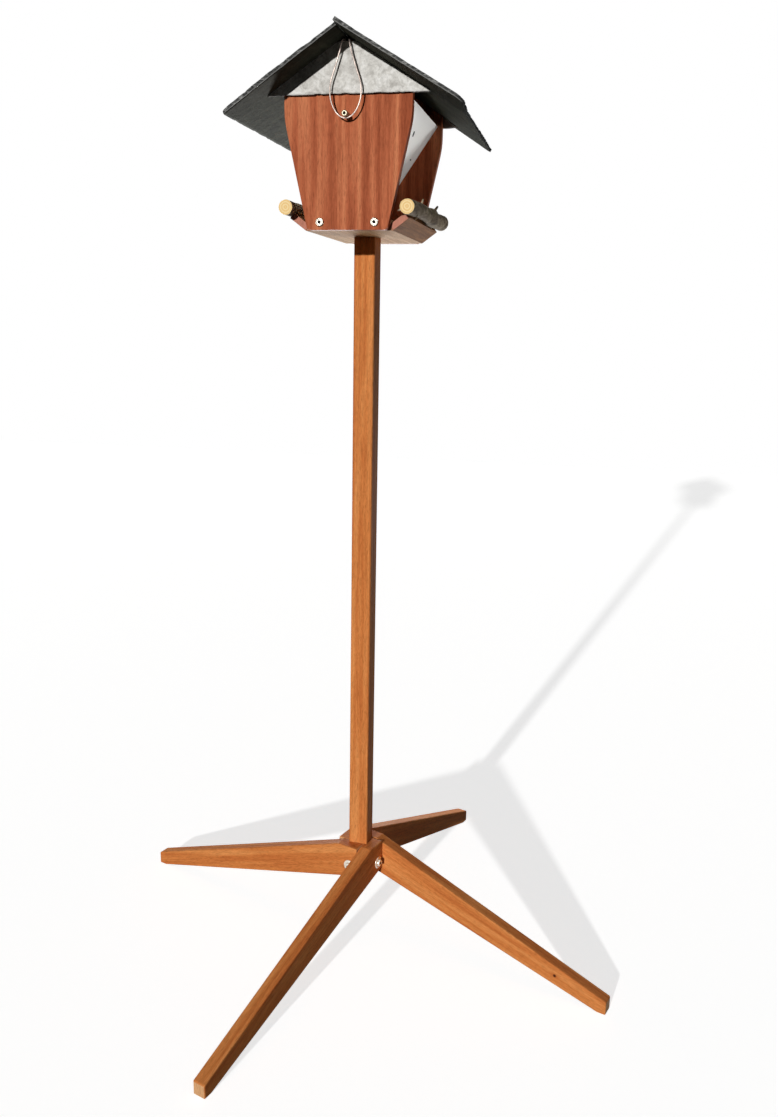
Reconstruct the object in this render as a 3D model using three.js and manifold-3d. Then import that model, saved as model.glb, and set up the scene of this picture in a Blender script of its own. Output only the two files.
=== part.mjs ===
// Bird table: a hopper feeder under a slate roof, on a square pole with four crossed legs.
// Millimetres, +Z up, the gable with the wire loop faces -Y. The origin is on the ground, on the pole's axis.
import * as THREE from 'three';
import { mergeVertices } from 'three/addons/utils/BufferGeometryUtils.js';
import Module from 'manifold-3d';

const wasm = await Module();
wasm.setup();

// Fits
const seatGap = 0.3; // between pieces that rest on or in each other
const boreGap = 0.3; // round a shank in its bore
const cutOverrun = 5; // how far a cutting tool runs past the face that it opens

// Stand
const hubTop = 172; // the flat tops of the legs, where the pole stands
const hubSide = 28; // square block in the middle of the four legs
const hubUnderside = 122; // underside of the block and of the legs' inner ends
const legThick = 21;
const legReach = 441; // from the pole's axis to the end of a leg
const legFlat = 23; // from the pole's axis to where a leg's top starts to slope
const legTipHeight = 22;
const legFootLength = 14;
const legsTurn = THREE.MathUtils.degToRad(-18.8);
const poleSide = 32;
const poleEase = 1.5; // small bevel along the pole's four corners
const poleTurn = THREE.MathUtils.degToRad(-4);

// Screws of the stand
const legScrewHeight = 138;
const legScrewRadius = 2.5;
const legScrewBite = 8.5; // how deep it goes into the block
const legScrewHeadRadius = 6;
const legScrewHeadHeight = 4;
const legScrewSocket = 2.3; // radius over the corners of the hexagon
const legScrewSocketDepth = 2;
const legWasherRadius = 10;
const legWasherThick = 1.5;
const coachRadius = 4; // the two long screws in the pole's ends
const coachHeadRadius = 7.5; // over the corners
const coachHeadHeight = 5.5;
const coachBite = 70; // length inside the pole
const coachWasherRadius = 12;
const coachWasherThick = 2;

const screwBevelShare = 1 / 3; // of the head's height, round its edge

// Feeder: heights below are above the underside of its floor
const headBase = 1153; // underside of the feeder's floor above the ground
const headDepth = 240; // over the two boards
const boardThick = 12;
const boardFootHalf = 56; // half width at the bottom
const boardHalf = 87.5; // half width above the shoulders
const boardNeck = 44.8; // upright stretch between the shoulders and the roof
const boardShoulderRound = 14; // half length of the rounding at a shoulder
const boardCorner = 3; // bevel at the bottom corners
const ridgeHeight = 240.5; // where the two planes of the roof meet
const boardApexDrop = 16; // the boards' tops are cut off this far below it
const roofPitch = THREE.MathUtils.degToRad(32);
const floorThick = 20;
const floorHalf = 61.5; // half width at the underside
const troughTilt = THREE.MathUtils.degToRad(36); // of the side panels, above the level
const troughWidth = 28.5; // of a side panel, up its slope
const troughThick = 9;

// Hopper panes
const paneThick = 3;
const paneTilt = THREE.MathUtils.degToRad(35); // from the upright
const paneTopHalf = 81; // half width of the hopper's mouth
const paneHeadroom = 19.9; // from its upper edge to the roof
const paneLength = 120; // down its slope
const paneGroove = 3; // depth of the grooves in the boards

// Perches: sawn branches
const perchOut = 84.5; // of the middle of a branch from the middle of the feeder
const perchHeight = 29;
const perchRadius = 9.8;
const perchFront = 8; // how far a branch stands out in front of the board
const perchBack = 2;
const perchSway = 2; // how far it wanders off its line
const perchDrift = 4; // how far the back end lies further out
const perchRise = 2.5; // and higher
const perchThicker = 2.6; // and thicker
const perchSides = 12;
const perchRings = 13;
const knotShares = [0.07, 0.04]; // how much two waves of knots swell it
const ovalShare = 0.04; // how far its section is from round
const swayWaves = [3, 5]; // turns of its wander sideways and upwards, in radians over its length
const knotWaves = [11, 23];
const twigRadius = 1.9;
const twigLength = 6;
const twigTipShare = 0.6; // of its radius
const twigRootShare = 0.6; // of the branch's radius, where it starts inside
const dowelRadius = 3;
const dowelPanel = 12; // length in the panel
const dowelBranch = 6; // length in the branch
const dowelFromEnd = 45;

// Screws with ring washers at the foot of the boards
const footScrewOut = 38.3;
const footScrewHeight = 10;
const footScrewRadius = 2.5;
const footScrewBite = 22;
const footScrewHeadRadius = 4.2;
const footScrewHeadHeight = 2.6;
const footScrewSocket = 1.9;
const footScrewSocketDepth = 1.6;
const ringRadius = 6;
const ringTopRadius = 5.3;
const ringHeight = 2;

// Tie bar between the tops of the boards
const tieSide = 14;
const tieDrop = 45; // of its middle below the ridge
const tieScrewRadius = 2;
const tieScrewHeadRadius = 4;
const tieScrewHeadHeight = 3;
const tieScrewBite = 22;

// Slates
const slateThick = 6;
const gableSlateThick = 6;
const gableFall = 71; // from the ridge to a gable slate's bottom edge
const gableBlunt = 1.5; // height of its cut-off corners
const gableApexDrop = 8; // its top is broken off this far below the ridge
const frontOverhang = 46; // of the slates in front of the gable slate
const backOverhang = 39;
const eaveOut = 155; // of the lower edge of a slate's underside
const rightRidgeLap = 8; // the right slate laps this far over the middle
const chipDepth = 2.2; // of the rough edges
const chipLength = 13;
const slateCorner = 8; // broken corners

// Frame of the roof: two rafters screwed under the slates
const rafterThick = 13;
const rafterDepth = 22;
const rafterHalf = 60; // half span
const rafterPlay = 1; // between a rafter and the board beside it
const roofScrewOut = 42;
const roofScrewRadius = 2;
const roofScrewBite = 14;
const roofScrewHeadRadius = 4;
const roofScrewHeadHeight = 2.4;
const roofScrewSocket = 1.6;
const roofScrewSocketDepth = 1.2;
const roofWasherRadius = 7;
const roofWasherThick = 1.2;

// Wire loop under the ridge and the stud that holds it
const wireRadius = 1;
const wireSteps = 56;
const wireHoleDrop = 11; // below the ridge
const ferruleRadius = 3.4;
const ferruleFlangeRadius = 5;
const ferruleFlange = 1.5;
const studDrop = 25.5; // of its middle below the gable slate
const studRadius = 4;
const studLength = 17;
const studGroove = 0.4; // depth of the groove that keeps the wire
const studGrooveWidth = 3;
const studGrooveFrom = 9; // from the board to the groove
const studEdge = 0.8; // bevel round the stud's end
const studShankRadius = 2;
const studShankLength = 8;
const studSocket = 2;
const studSocketDepth = 3;

const roundSides = 20;
const smallSides = 12;

const headHalf = headDepth / 2;
const innerHalf = headHalf - boardThick;
const hubHalf = hubSide / 2;
const boardShoulder = roofUnderside(boardHalf) - boardNeck;
const boardApex = ridgeHeight - boardApexDrop;
const paneTopHeight = roofUnderside(paneTopHalf) - paneHeadroom;
const tieHeight = ridgeHeight - tieDrop;
const gableApex = ridgeHeight - gableApexDrop;
const gableFoot = ridgeHeight - gableFall;
const roofFront = -headHalf - gableSlateThick - frontOverhang;
const roofBack = headHalf + gableSlateThick + backOverhang;
const studHeight = gableFoot - studDrop;
const wireHoleHeight = ridgeHeight - wireHoleDrop;

// Materials
function wood(colour, roughness) {
  return new THREE.MeshStandardMaterial({ color: colour, roughness, metalness: 0 });
}

function steel() {
  return new THREE.MeshStandardMaterial({ color: 0xc9c9c6, roughness: 0.3, metalness: 1 });
}

function slate(colour) {
  return new THREE.MeshStandardMaterial({ color: colour, roughness: 0.85, metalness: 0 });
}

const looks = {
  stand: () => wood(0xb9743a, 0.6),
  board: () => wood(0xb0654a, 0.55),
  floor: () => wood(0xc7a489, 0.7),
  bark: () => wood(0x8f8272, 0.9),
  dowel: () => wood(0xd8b98a, 0.7),
  roofSlate: () => slate(0x3b3f40),
  gableSlate: () => slate(0x8a8d8c),
  pane: () => new THREE.MeshStandardMaterial({
    color: 0xdfe6e6, roughness: 0.05, metalness: 0, transparent: true, opacity: 0.4,
  }),
  steel,
};

// Solids
function solidOf(geometry) {
  const bare = geometry.clone();
  bare.deleteAttribute('normal');
  bare.deleteAttribute('uv');
  const merged = mergeVertices(bare);
  return new wasm.Manifold(new wasm.Mesh({
    numProp: 3,
    vertProperties: new Float32Array(merged.attributes.position.array),
    triVerts: new Uint32Array(merged.index.array),
  }));
}

function geometryOf(solid) {
  const mesh = solid.getMesh();
  const geometry = new THREE.BufferGeometry();
  geometry.setAttribute('position', new THREE.BufferAttribute(mesh.vertProperties, mesh.numProp));
  geometry.setIndex(new THREE.BufferAttribute(mesh.triVerts, 1));
  geometry.computeVertexNormals();
  return geometry;
}

function cut(body, tools) {
  return geometryOf(tools.reduce((rest, tool) => rest.subtract(solidOf(tool)), solidOf(body)));
}

function join(pieces) {
  const [first, ...others] = pieces.map(solidOf);
  return geometryOf(others.reduce((whole, piece) => whole.add(piece), first));
}

// A shape drawn in X and Z, extruded along Y from one y to another.
function slab(shape, fromY, toY, curveSteps = 4) {
  const geometry = new THREE.ExtrudeGeometry(shape, {
    depth: toY - fromY, bevelEnabled: false, curveSegments: curveSteps,
  });
  geometry.rotateX(Math.PI / 2);
  return geometry.translate(0, toY, 0);
}

function box(fromX, toX, fromY, toY, fromZ, toZ) {
  const geometry = new THREE.BoxGeometry(toX - fromX, toY - fromY, toZ - fromZ);
  return geometry.translate((fromX + toX) / 2, (fromY + toY) / 2, (fromZ + toZ) / 2);
}

// A solid of revolution about Z from its outline of [radius, height] points.
function turned(outline, sides) {
  const geometry = new THREE.LatheGeometry(outline.map(([r, z]) => new THREE.Vector2(r, z)), sides);
  return geometry.rotateX(Math.PI / 2);
}

function rod(radius, fromZ, toZ, sides = smallSides) {
  return turned([[0, fromZ], [radius, fromZ], [radius, toZ], [0, toZ]], sides);
}

function ring(inner, outer, top, height, sides = roundSides) {
  return turned([[inner, 0], [outer, 0], [top, height], [inner, height], [inner, 0]], sides);
}

// A screw along Z: the head stands on z = 0 and the shank goes down from it.
function screw(size) {
  const bevel = size.headHeight * screwBevelShare;
  const outline = [
    [0, -size.length],
    [size.radius / 2, -size.length],
    [size.radius, size.radius - size.length],
    [size.radius, 0],
    [size.headRadius, 0],
    [size.headRadius, size.headHeight - bevel],
    [size.headRadius - bevel, size.headHeight],
    [0, size.headHeight],
  ];
  const body = turned(outline, size.sides ?? smallSides);
  const socket = rod(size.socket, size.headHeight - size.socketDepth, size.headHeight + cutOverrun, 6);
  return cut(body, [socket]);
}

function coachScrew(length) {
  const head = rod(coachHeadRadius, 0, coachHeadHeight, 6);
  const shank = turned([
    [0, -length],
    [coachRadius / 4, -length],
    [coachRadius, coachRadius - length],
    [coachRadius, coachHeadHeight / 2],
    [0, coachHeadHeight / 2],
  ], smallSides);
  return join([head, shank]);
}

function node(name, geometry, look) {
  const mesh = new THREE.Mesh(geometry, looks[look]());
  mesh.name = name;
  return mesh;
}

// Stand
function pole() {
  const half = poleSide / 2;
  const side = half - poleEase;
  const section = new THREE.Shape([
    [-side, -half], [side, -half], [half, -side], [half, side],
    [side, half], [-side, half], [-half, side], [-half, -side],
  ].map(([x, y]) => new THREE.Vector2(x, y)));
  const foot = hubTop + seatGap;
  const top = headBase - seatGap;
  const body = new THREE.ExtrudeGeometry(section, { depth: top - foot, bevelEnabled: false });
  body.translate(0, 0, foot);
  const bore = coachRadius + boreGap;
  const lower = rod(bore, foot - cutOverrun, foot + coachBite + cutOverrun);
  const upper = rod(bore, top - coachBite - cutOverrun, top + cutOverrun);
  return cut(body, [lower, upper]);
}

// A leg lies along +X, its inner side a gap away from the block's face at y = hubHalf.
function leg() {
  const profile = new THREE.Shape([
    [-hubHalf, hubTop],
    [-hubHalf, hubUnderside],
    [legReach - legFootLength, 0],
    [legReach, 0],
    [legReach, legTipHeight],
    [legFlat, hubTop],
  ].map(([x, z]) => new THREE.Vector2(x, z)));
  const inner = hubHalf + seatGap;
  const body = slab(profile, inner, inner + legThick);
  const hole = rod(legScrewRadius + boreGap, 0, legThick + 2 * cutOverrun);
  hole.rotateX(-Math.PI / 2).translate(0, inner - cutOverrun, legScrewHeight);
  return cut(body, [hole]);
}

function legScrew() {
  const body = screw({
    radius: legScrewRadius,
    length: legThick + seatGap + legWasherThick + legScrewBite,
    headRadius: legScrewHeadRadius,
    headHeight: legScrewHeadHeight,
    socket: legScrewSocket,
    socketDepth: legScrewSocketDepth,
    sides: roundSides,
  });
  const outer = hubHalf + seatGap + legThick + legWasherThick;
  return body.rotateX(-Math.PI / 2).translate(0, outer, legScrewHeight);
}

function legWasher() {
  const body = ring(legScrewRadius + boreGap, legWasherRadius, legWasherRadius, legWasherThick);
  const outer = hubHalf + seatGap + legThick;
  return body.rotateX(-Math.PI / 2).translate(0, outer, legScrewHeight);
}

function hubBlock() {
  const body = box(-hubHalf, hubHalf, -hubHalf, hubHalf, hubUnderside, hubTop);
  const tools = [rod(coachRadius + boreGap, hubUnderside - cutOverrun, hubTop + cutOverrun)];
  for (let quarter = 0; quarter < 4; quarter += 1) {
    const hole = rod(legScrewRadius + boreGap, 0, legScrewBite + boreGap + cutOverrun);
    hole.rotateX(-Math.PI / 2).translate(0, hubHalf - legScrewBite - boreGap, legScrewHeight);
    tools.push(hole.rotateZ(quarter * Math.PI / 2));
  }
  return cut(body, tools);
}

function stand() {
  const group = new THREE.Group();
  const hub = new THREE.Group();
  hub.rotation.z = legsTurn;
  const sides = ['right', 'back', 'left', 'front'];
  sides.forEach((side, quarter) => {
    const arm = new THREE.Group();
    arm.rotation.z = quarter * Math.PI / 2;
    arm.add(node(`leg_${side}`, leg(), 'stand'));
    arm.add(node(`leg_washer_${side}`, legWasher(), 'steel'));
    arm.add(node(`leg_screw_${side}`, legScrew(), 'steel'));
    hub.add(arm);
  });
  hub.add(node('hub_block', hubBlock(), 'stand'));
  const blockHeight = hubTop - hubUnderside;
  const lowerScrew = coachScrew(blockHeight + coachWasherThick + seatGap + coachBite);
  lowerScrew.rotateX(Math.PI).translate(0, 0, hubUnderside - coachWasherThick);
  hub.add(node('pole_screw_bottom', lowerScrew, 'steel'));
  const lowerWasher = ring(coachRadius + boreGap, coachWasherRadius, coachWasherRadius, coachWasherThick);
  lowerWasher.translate(0, 0, hubUnderside - coachWasherThick);
  hub.add(node('pole_washer_bottom', lowerWasher, 'steel'));
  group.add(hub);
  const post = node('pole', pole(), 'stand');
  post.rotation.z = poleTurn;
  group.add(post);
  return group;
}

// Height of the roof's underside at a distance from the middle, above the feeder's floor.
function roofUnderside(x) {
  return ridgeHeight - Math.abs(x) * Math.tan(roofPitch);
}

// Boards
function boardShape() {
  const gap = seatGap / Math.cos(roofPitch);
  const taper = (boardHalf - boardFootHalf) / boardShoulder;
  const foot = boardFootHalf + boardCorner * taper;
  const below = boardHalf - boardShoulderRound * taper;
  const shape = new THREE.Shape();
  shape.moveTo(-boardFootHalf + boardCorner, 0);
  shape.lineTo(boardFootHalf - boardCorner, 0);
  shape.lineTo(foot, boardCorner);
  shape.lineTo(below, boardShoulder - boardShoulderRound);
  shape.quadraticCurveTo(boardHalf, boardShoulder, boardHalf, boardShoulder + boardShoulderRound);
  shape.lineTo(boardHalf, roofUnderside(boardHalf) - gap);
  const apexHalf = (ridgeHeight - gap - boardApex) / Math.tan(roofPitch);
  shape.lineTo(apexHalf, boardApex);
  shape.lineTo(-apexHalf, boardApex);
  shape.lineTo(-boardHalf, roofUnderside(boardHalf) - gap);
  shape.lineTo(-boardHalf, boardShoulder + boardShoulderRound);
  shape.quadraticCurveTo(-boardHalf, boardShoulder, -below, boardShoulder - boardShoulderRound);
  shape.lineTo(-foot, boardCorner);
  return shape;
}

// The pane's section, grown by a clearance all round, in X and Z.
function paneShape(grow) {
  const down = new THREE.Vector2(-Math.sin(paneTilt), -Math.cos(paneTilt));
  const across = new THREE.Vector2(-Math.cos(paneTilt), Math.sin(paneTilt));
  const top = new THREE.Vector2(paneTopHalf, paneTopHeight);
  const at = (along, through) => top.clone().addScaledVector(down, along).addScaledVector(across, through);
  return new THREE.Shape([
    at(-grow, -grow), at(-grow, paneThick + grow),
    at(paneLength + grow, paneThick + grow), at(paneLength + grow, -grow),
  ]);
}

function pane() {
  const half = innerHalf + paneGroove - seatGap;
  return slab(paneShape(0), -half, half);
}

// A board as the front one, with what its own hardware needs cut into it.
function board(extraTools) {
  const inside = -innerHalf;
  const body = slab(boardShape(), -headHalf, inside);
  const groove = slab(paneShape(seatGap), inside - paneGroove, inside + cutOverrun);
  const otherGroove = groove.clone().rotateZ(Math.PI).translate(0, 2 * inside + cutOverrun - paneGroove, 0);
  const tools = [groove, otherGroove];
  for (const x of [-footScrewOut, footScrewOut]) {
    tools.push(hole(footScrewRadius + boreGap, x, footScrewHeight));
  }
  tools.push(hole(tieScrewRadius + boreGap, 0, tieHeight));
  const sink = tieScrewHeadRadius + boreGap;
  const seat = turned([
    [0, 0], [tieScrewRadius + boreGap, 0],
    [sink, tieScrewHeadHeight], [sink, tieScrewHeadHeight + cutOverrun], [0, tieScrewHeadHeight + cutOverrun],
  ], smallSides);
  tools.push(toFront(seat, 0, tieHeight, -headHalf + tieScrewHeadHeight + boreGap));
  return cut(body, [...tools, ...extraTools]);
}

// Turns a solid drawn along Z to point out of the front, +Z to -Y, at a height and a depth.
function toFront(geometry, x, z, y) {
  return geometry.rotateX(Math.PI / 2).translate(x, y, z);
}

// A hole right through a board, and through a slate in front of it.
function hole(radius, x, z) {
  const deep = boardThick + gableSlateThick + 2 * cutOverrun;
  return toFront(rod(radius, 0, deep), x, z, -innerHalf + cutOverrun);
}

function frontBoard() {
  const shank = rod(studShankRadius + boreGap, 0, studShankLength + boreGap + cutOverrun);
  return board([toFront(shank, 0, studHeight, -headHalf + studShankLength + boreGap)]);
}

function backBoard() {
  return board([]).rotateZ(Math.PI);
}

function floorBoard() {
  const top = floorHalf - floorThick * Math.tan(troughTilt);
  const shape = new THREE.Shape([
    [-floorHalf, 0], [floorHalf, 0], [top, floorThick], [-top, floorThick],
  ].map(([x, z]) => new THREE.Vector2(x, z)));
  const body = slab(shape, -innerHalf, innerHalf);
  const tools = [rod(coachRadius + boreGap, -cutOverrun, floorThick + cutOverrun)];
  const bite = footScrewBite + boreGap + cutOverrun;
  for (const turn of [0, Math.PI]) {
    for (const x of [-footScrewOut, footScrewOut]) {
      const bore = rod(footScrewRadius + boreGap, 0, bite);
      toFront(bore, x, footScrewHeight, bite - innerHalf - cutOverrun);
      tools.push(bore.rotateZ(turn));
    }
  }
  return cut(body, tools);
}

// Place in a trough panel's own section: up its slope and through its thickness.
function troughPoint(along, through) {
  return new THREE.Vector2(
    floorHalf + along * Math.cos(troughTilt) - through * Math.sin(troughTilt),
    along * Math.sin(troughTilt) + through * Math.cos(troughTilt),
  );
}

function troughShape(grow) {
  return new THREE.Shape([
    troughPoint(seatGap - grow, -grow), troughPoint(troughWidth + grow, -grow),
    troughPoint(troughWidth + grow, troughThick + grow), troughPoint(seatGap - grow, troughThick + grow),
  ]);
}

function dowelAt(y, grow) {
  const from = troughPoint(troughWidth - dowelPanel - grow, troughThick / 2);
  const body = rod(dowelRadius + grow, 0, dowelPanel + dowelBranch + 2 * grow);
  return body.rotateY(Math.PI / 2 - troughTilt).translate(from.x, y, from.y);
}

const dowelPlaces = [-innerHalf + dowelFromEnd, innerHalf - dowelFromEnd];

function troughPanel() {
  const body = slab(troughShape(0), -innerHalf, innerHalf);
  return cut(body, dowelPlaces.map((y) => dowelAt(y, seatGap)));
}

// A branch is a stack of rings of uneven radius along a wandering line, with flat sawn ends.
function branch(phase) {
  const from = -headHalf - perchFront;
  const to = headHalf + perchBack;
  const places = [];
  const faces = [];
  for (let i = 0; i <= perchRings; i += 1) {
    const share = i / perchRings;
    const sway = Math.sin(Math.PI * share);
    const x = perchOut + perchDrift * share + perchSway * sway * Math.sin(swayWaves[0] * share + phase);
    const z = perchHeight + perchRise * share + perchSway * sway * Math.sin(swayWaves[1] * share + phase);
    const knots = knotShares[0] * Math.sin(knotWaves[0] * share + 2 * phase)
      + knotShares[1] * Math.sin(knotWaves[1] * share + phase);
    const swell = sway * knots;
    for (let j = 0; j < perchSides; j += 1) {
      const angle = 2 * Math.PI * j / perchSides;
      const oval = 1 + ovalShare * Math.cos(2 * angle + phase + 2 * share);
      const radius = (perchRadius + perchThicker * share) * (1 + swell) * oval;
      places.push(x + radius * Math.cos(angle), from + (to - from) * share, z + radius * Math.sin(angle));
    }
  }
  for (let i = 0; i < perchRings; i += 1) {
    for (let j = 0; j < perchSides; j += 1) {
      const a = i * perchSides + j;
      const b = i * perchSides + (j + 1) % perchSides;
      faces.push(a, a + perchSides, b, b, a + perchSides, b + perchSides);
    }
  }
  const last = perchRings * perchSides;
  for (let j = 1; j + 1 < perchSides; j += 1) {
    faces.push(0, j, j + 1);
    faces.push(last, last + j + 1, last + j);
  }
  const geometry = new THREE.BufferGeometry();
  geometry.setAttribute('position', new THREE.Float32BufferAttribute(places, 3));
  geometry.setIndex(faces);
  return geometry;
}

// Twig stubs: [share along the branch, angle round it in turns]
const twigShares = [[0.28, 0.12], [0.62, 0.9]];

function twig([along, round]) {
  const root = perchRadius * twigRootShare;
  const length = perchRadius + twigLength - root;
  const stub = turned([[0, 0], [twigRadius, 0], [twigRadius * twigTipShare, length], [0, length]], 6);
  stub.translate(0, 0, root).rotateY(Math.PI / 2 - 2 * Math.PI * round);
  const y = -headHalf - perchFront + along * (headDepth + perchFront + perchBack);
  return stub.translate(perchOut, y, perchHeight);
}

function perch(phase) {
  const whole = join([branch(phase), ...twigShares.map(twig)]);
  const rebate = slab(troughShape(seatGap), -innerHalf - seatGap, innerHalf + seatGap);
  return cut(whole, [rebate, ...dowelPlaces.map((y) => dowelAt(y, seatGap))]);
}

function tieBar() {
  const half = tieSide / 2;
  const body = box(-half, half, -innerHalf, innerHalf, tieHeight - half, tieHeight + half);
  const tools = [0, Math.PI].map((turn) => {
    const bite = tieScrewBite + boreGap + cutOverrun;
    const bore = toFront(rod(tieScrewRadius + boreGap, 0, bite), 0, tieHeight, bite - innerHalf - cutOverrun);
    return bore.rotateZ(turn);
  });
  return cut(body, tools);
}

function tieScrew() {
  const length = boardThick - tieScrewHeadHeight + tieScrewBite - boreGap;
  const body = turned([
    [0, -length],
    [tieScrewRadius / 2, -length],
    [tieScrewRadius, tieScrewRadius - length],
    [tieScrewRadius, 0],
    [tieScrewHeadRadius, tieScrewHeadHeight - boreGap],
    [0, tieScrewHeadHeight - boreGap],
  ], smallSides);
  return toFront(body, 0, tieHeight, -headHalf + tieScrewHeadHeight);
}

function footScrew() {
  const body = screw({
    radius: footScrewRadius,
    length: boardThick + footScrewBite,
    headRadius: footScrewHeadRadius,
    headHeight: footScrewHeadHeight,
    socket: footScrewSocket,
    socketDepth: footScrewSocketDepth,
    sides: roundSides,
  });
  return toFront(body, 0, footScrewHeight, -headHalf);
}

function footRing() {
  const body = ring(footScrewHeadRadius + boreGap, ringRadius, ringTopRadius, ringHeight);
  return toFront(body, 0, footScrewHeight, -headHalf);
}

// Slates
// Points along a rough edge from a to b, bitten in by up to chipDepth on its left hand.
function roughEdge(a, b, phase) {
  const along = b.clone().sub(a);
  const count = Math.max(3, Math.round(along.length() / chipLength));
  const inward = new THREE.Vector2(-along.y, along.x).normalize();
  const points = [];
  for (let i = 1; i < count; i += 1) {
    const biteShare = (1 + Math.sin(2.4 * i + phase) * Math.cos(1.7 * i + 2 * phase)) / 2;
    points.push(a.clone().addScaledVector(along, i / count).addScaledVector(inward, chipDepth * biteShare));
  }
  return points;
}

function roughOutline(corners, phase) {
  const points = [];
  corners.forEach((corner, i) => {
    const next = corners[(i + 1) % corners.length];
    points.push(corner, ...roughEdge(corner, next, phase + i));
  });
  return points;
}

// A gable slate with a straight top along the roof and a rough bottom edge.
function gableSlate(phase) {
  const gap = seatGap / Math.cos(roofPitch);
  const half = (ridgeHeight - gap - gableFoot - gableBlunt) / Math.tan(roofPitch);
  const apexHalf = (ridgeHeight - gap - gableApex) / Math.tan(roofPitch);
  const left = new THREE.Vector2(-half, gableFoot);
  const right = new THREE.Vector2(half, gableFoot);
  const points = [
    left, ...roughEdge(left, right, phase), right,
    new THREE.Vector2(half, gableFoot + gableBlunt),
    new THREE.Vector2(apexHalf, gableApex),
    new THREE.Vector2(-apexHalf, gableApex),
    new THREE.Vector2(-half, gableFoot + gableBlunt),
  ];
  return slab(new THREE.Shape(points), -headHalf - gableSlateThick, -headHalf);
}

// A roof slate lies in its own plane: x down the slope from the ridge, z through its thickness.
function roofSlate(start, [front, back], phase) {
  const end = eaveOut / Math.cos(roofPitch);
  const broken = slateCorner / 2;
  const corners = [
    [start, front], [end - slateCorner, front], [end, front + broken],
    [end, back - broken], [end - broken, back], [start, back],
  ].map(([x, y]) => new THREE.Vector2(x, y));
  const shape = new THREE.Shape(roughOutline(corners, phase));
  const body = new THREE.ExtrudeGeometry(shape, { depth: slateThick, bevelEnabled: false });
  const tools = rafterPlaces.map((y) => rod(roofScrewRadius + boreGap, -cutOverrun, slateThick + cutOverrun)
    .translate(roofScrewOut / Math.cos(roofPitch), y, 0));
  return cut(body, tools);
}

const rafterPlaces = [-1, 1].map((side) => side * (innerHalf - rafterPlay - rafterThick / 2));

// A place on a roof plane as a matrix: x down the slope to one side, z square to the slates.
function slopeMatrix(side) {
  const turn = new THREE.Matrix4().makeRotationY(roofPitch);
  const flip = new THREE.Matrix4().makeRotationZ(side > 0 ? 0 : Math.PI);
  return new THREE.Matrix4().makeTranslation(0, 0, ridgeHeight).multiply(flip).multiply(turn);
}

function roofSlateAt(side, start, phase) {
  const ends = side > 0 ? [roofFront, roofBack] : [-roofBack, -roofFront];
  return roofSlate(start / Math.cos(roofPitch), ends, phase).applyMatrix4(slopeMatrix(side));
}

function rafter(y, extraTools = []) {
  const drop = rafterDepth / Math.cos(roofPitch);
  const gap = seatGap / Math.cos(roofPitch);
  const shape = new THREE.Shape([
    [0, ridgeHeight - gap],
    [-rafterHalf, roofUnderside(rafterHalf) - gap],
    [-rafterHalf, roofUnderside(rafterHalf) - drop],
    [0, ridgeHeight - drop],
    [rafterHalf, roofUnderside(rafterHalf) - drop],
    [rafterHalf, roofUnderside(rafterHalf) - gap],
  ].map(([x, z]) => new THREE.Vector2(x, z)));
  const body = slab(shape, y - rafterThick / 2, y + rafterThick / 2);
  const tools = [-1, 1].map((side) => rod(roofScrewRadius + boreGap, -roofScrewBite - boreGap, cutOverrun)
    .translate(roofScrewOut / Math.cos(roofPitch), side * y, 0).applyMatrix4(slopeMatrix(side)));
  return cut(body, [...tools, ...extraTools]);
}

function frontRafter(y) {
  const bore = rod(ferruleRadius + boreGap, -cutOverrun, rafterThick + cutOverrun);
  return rafter(y, [toFront(bore, 0, wireHoleHeight, y + rafterThick / 2)]);
}

function roofScrewAt(side, y) {
  const body = screw({
    radius: roofScrewRadius,
    length: slateThick + roofWasherThick + roofScrewBite,
    headRadius: roofScrewHeadRadius,
    headHeight: roofScrewHeadHeight,
    socket: roofScrewSocket,
    socketDepth: roofScrewSocketDepth,
  });
  const seat = slateThick + roofWasherThick + seatGap;
  return body.translate(roofScrewOut / Math.cos(roofPitch), y, seat).applyMatrix4(slopeMatrix(side));
}

function roofWasherAt(side, y) {
  const bore = roofScrewRadius + boreGap;
  const body = ring(bore, roofWasherRadius, roofWasherRadius, roofWasherThick, smallSides);
  return body.translate(roofScrewOut / Math.cos(roofPitch), y, slateThick + seatGap / 2)
    .applyMatrix4(slopeMatrix(side));
}

// Wire loop: one half of its route from the ferrule, over the gable and down to the stud, as [x, y, z].
const wireRoute = [
  [1.7, -108, 229.5], [1.8, -112, 230], [2.1, -117, 233], [2.6, -121, 234.6], [3.2, -126, 234.6],
  [4.4, -130.4, 232.8], [5.8, -132.2, 228], [7.4, -132.8, 220], [11, -132.8, 209], [15.4, -132.4, 196], [19.3, -131.8, 185],
  [21.2, -131.4, 174], [20.2, -131, 162], [16, -130.7, 151], [9, -130.5, 142.4], [0, -130.5, 139.1],
];

function wireLoop() {
  const half = wireRoute.map(([x, y, z]) => new THREE.Vector3(x, y, z));
  const other = half.slice(0, -1).reverse().map((p) => new THREE.Vector3(-p.x, p.y, p.z));
  const path = new THREE.CatmullRomCurve3([...half, ...other], false, 'centripetal');
  const section = new THREE.Shape();
  section.absarc(0, 0, wireRadius, 0, 2 * Math.PI);
  return new THREE.ExtrudeGeometry(section, {
    steps: wireSteps, curveSegments: 4, extrudePath: path, bevelEnabled: false,
  });
}

// The ferrule goes through the front rafter from behind and holds both ends of the wire.
function ferrule(y) {
  const body = turned([
    [0, -ferruleFlange - seatGap],
    [ferruleFlangeRadius, -ferruleFlange - seatGap],
    [ferruleFlangeRadius, -seatGap],
    [ferruleRadius, -seatGap],
    [ferruleRadius, rafterThick],
    [0, rafterThick],
  ], smallSides);
  return toFront(body, 0, wireHoleHeight, y + rafterThick / 2);
}

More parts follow.
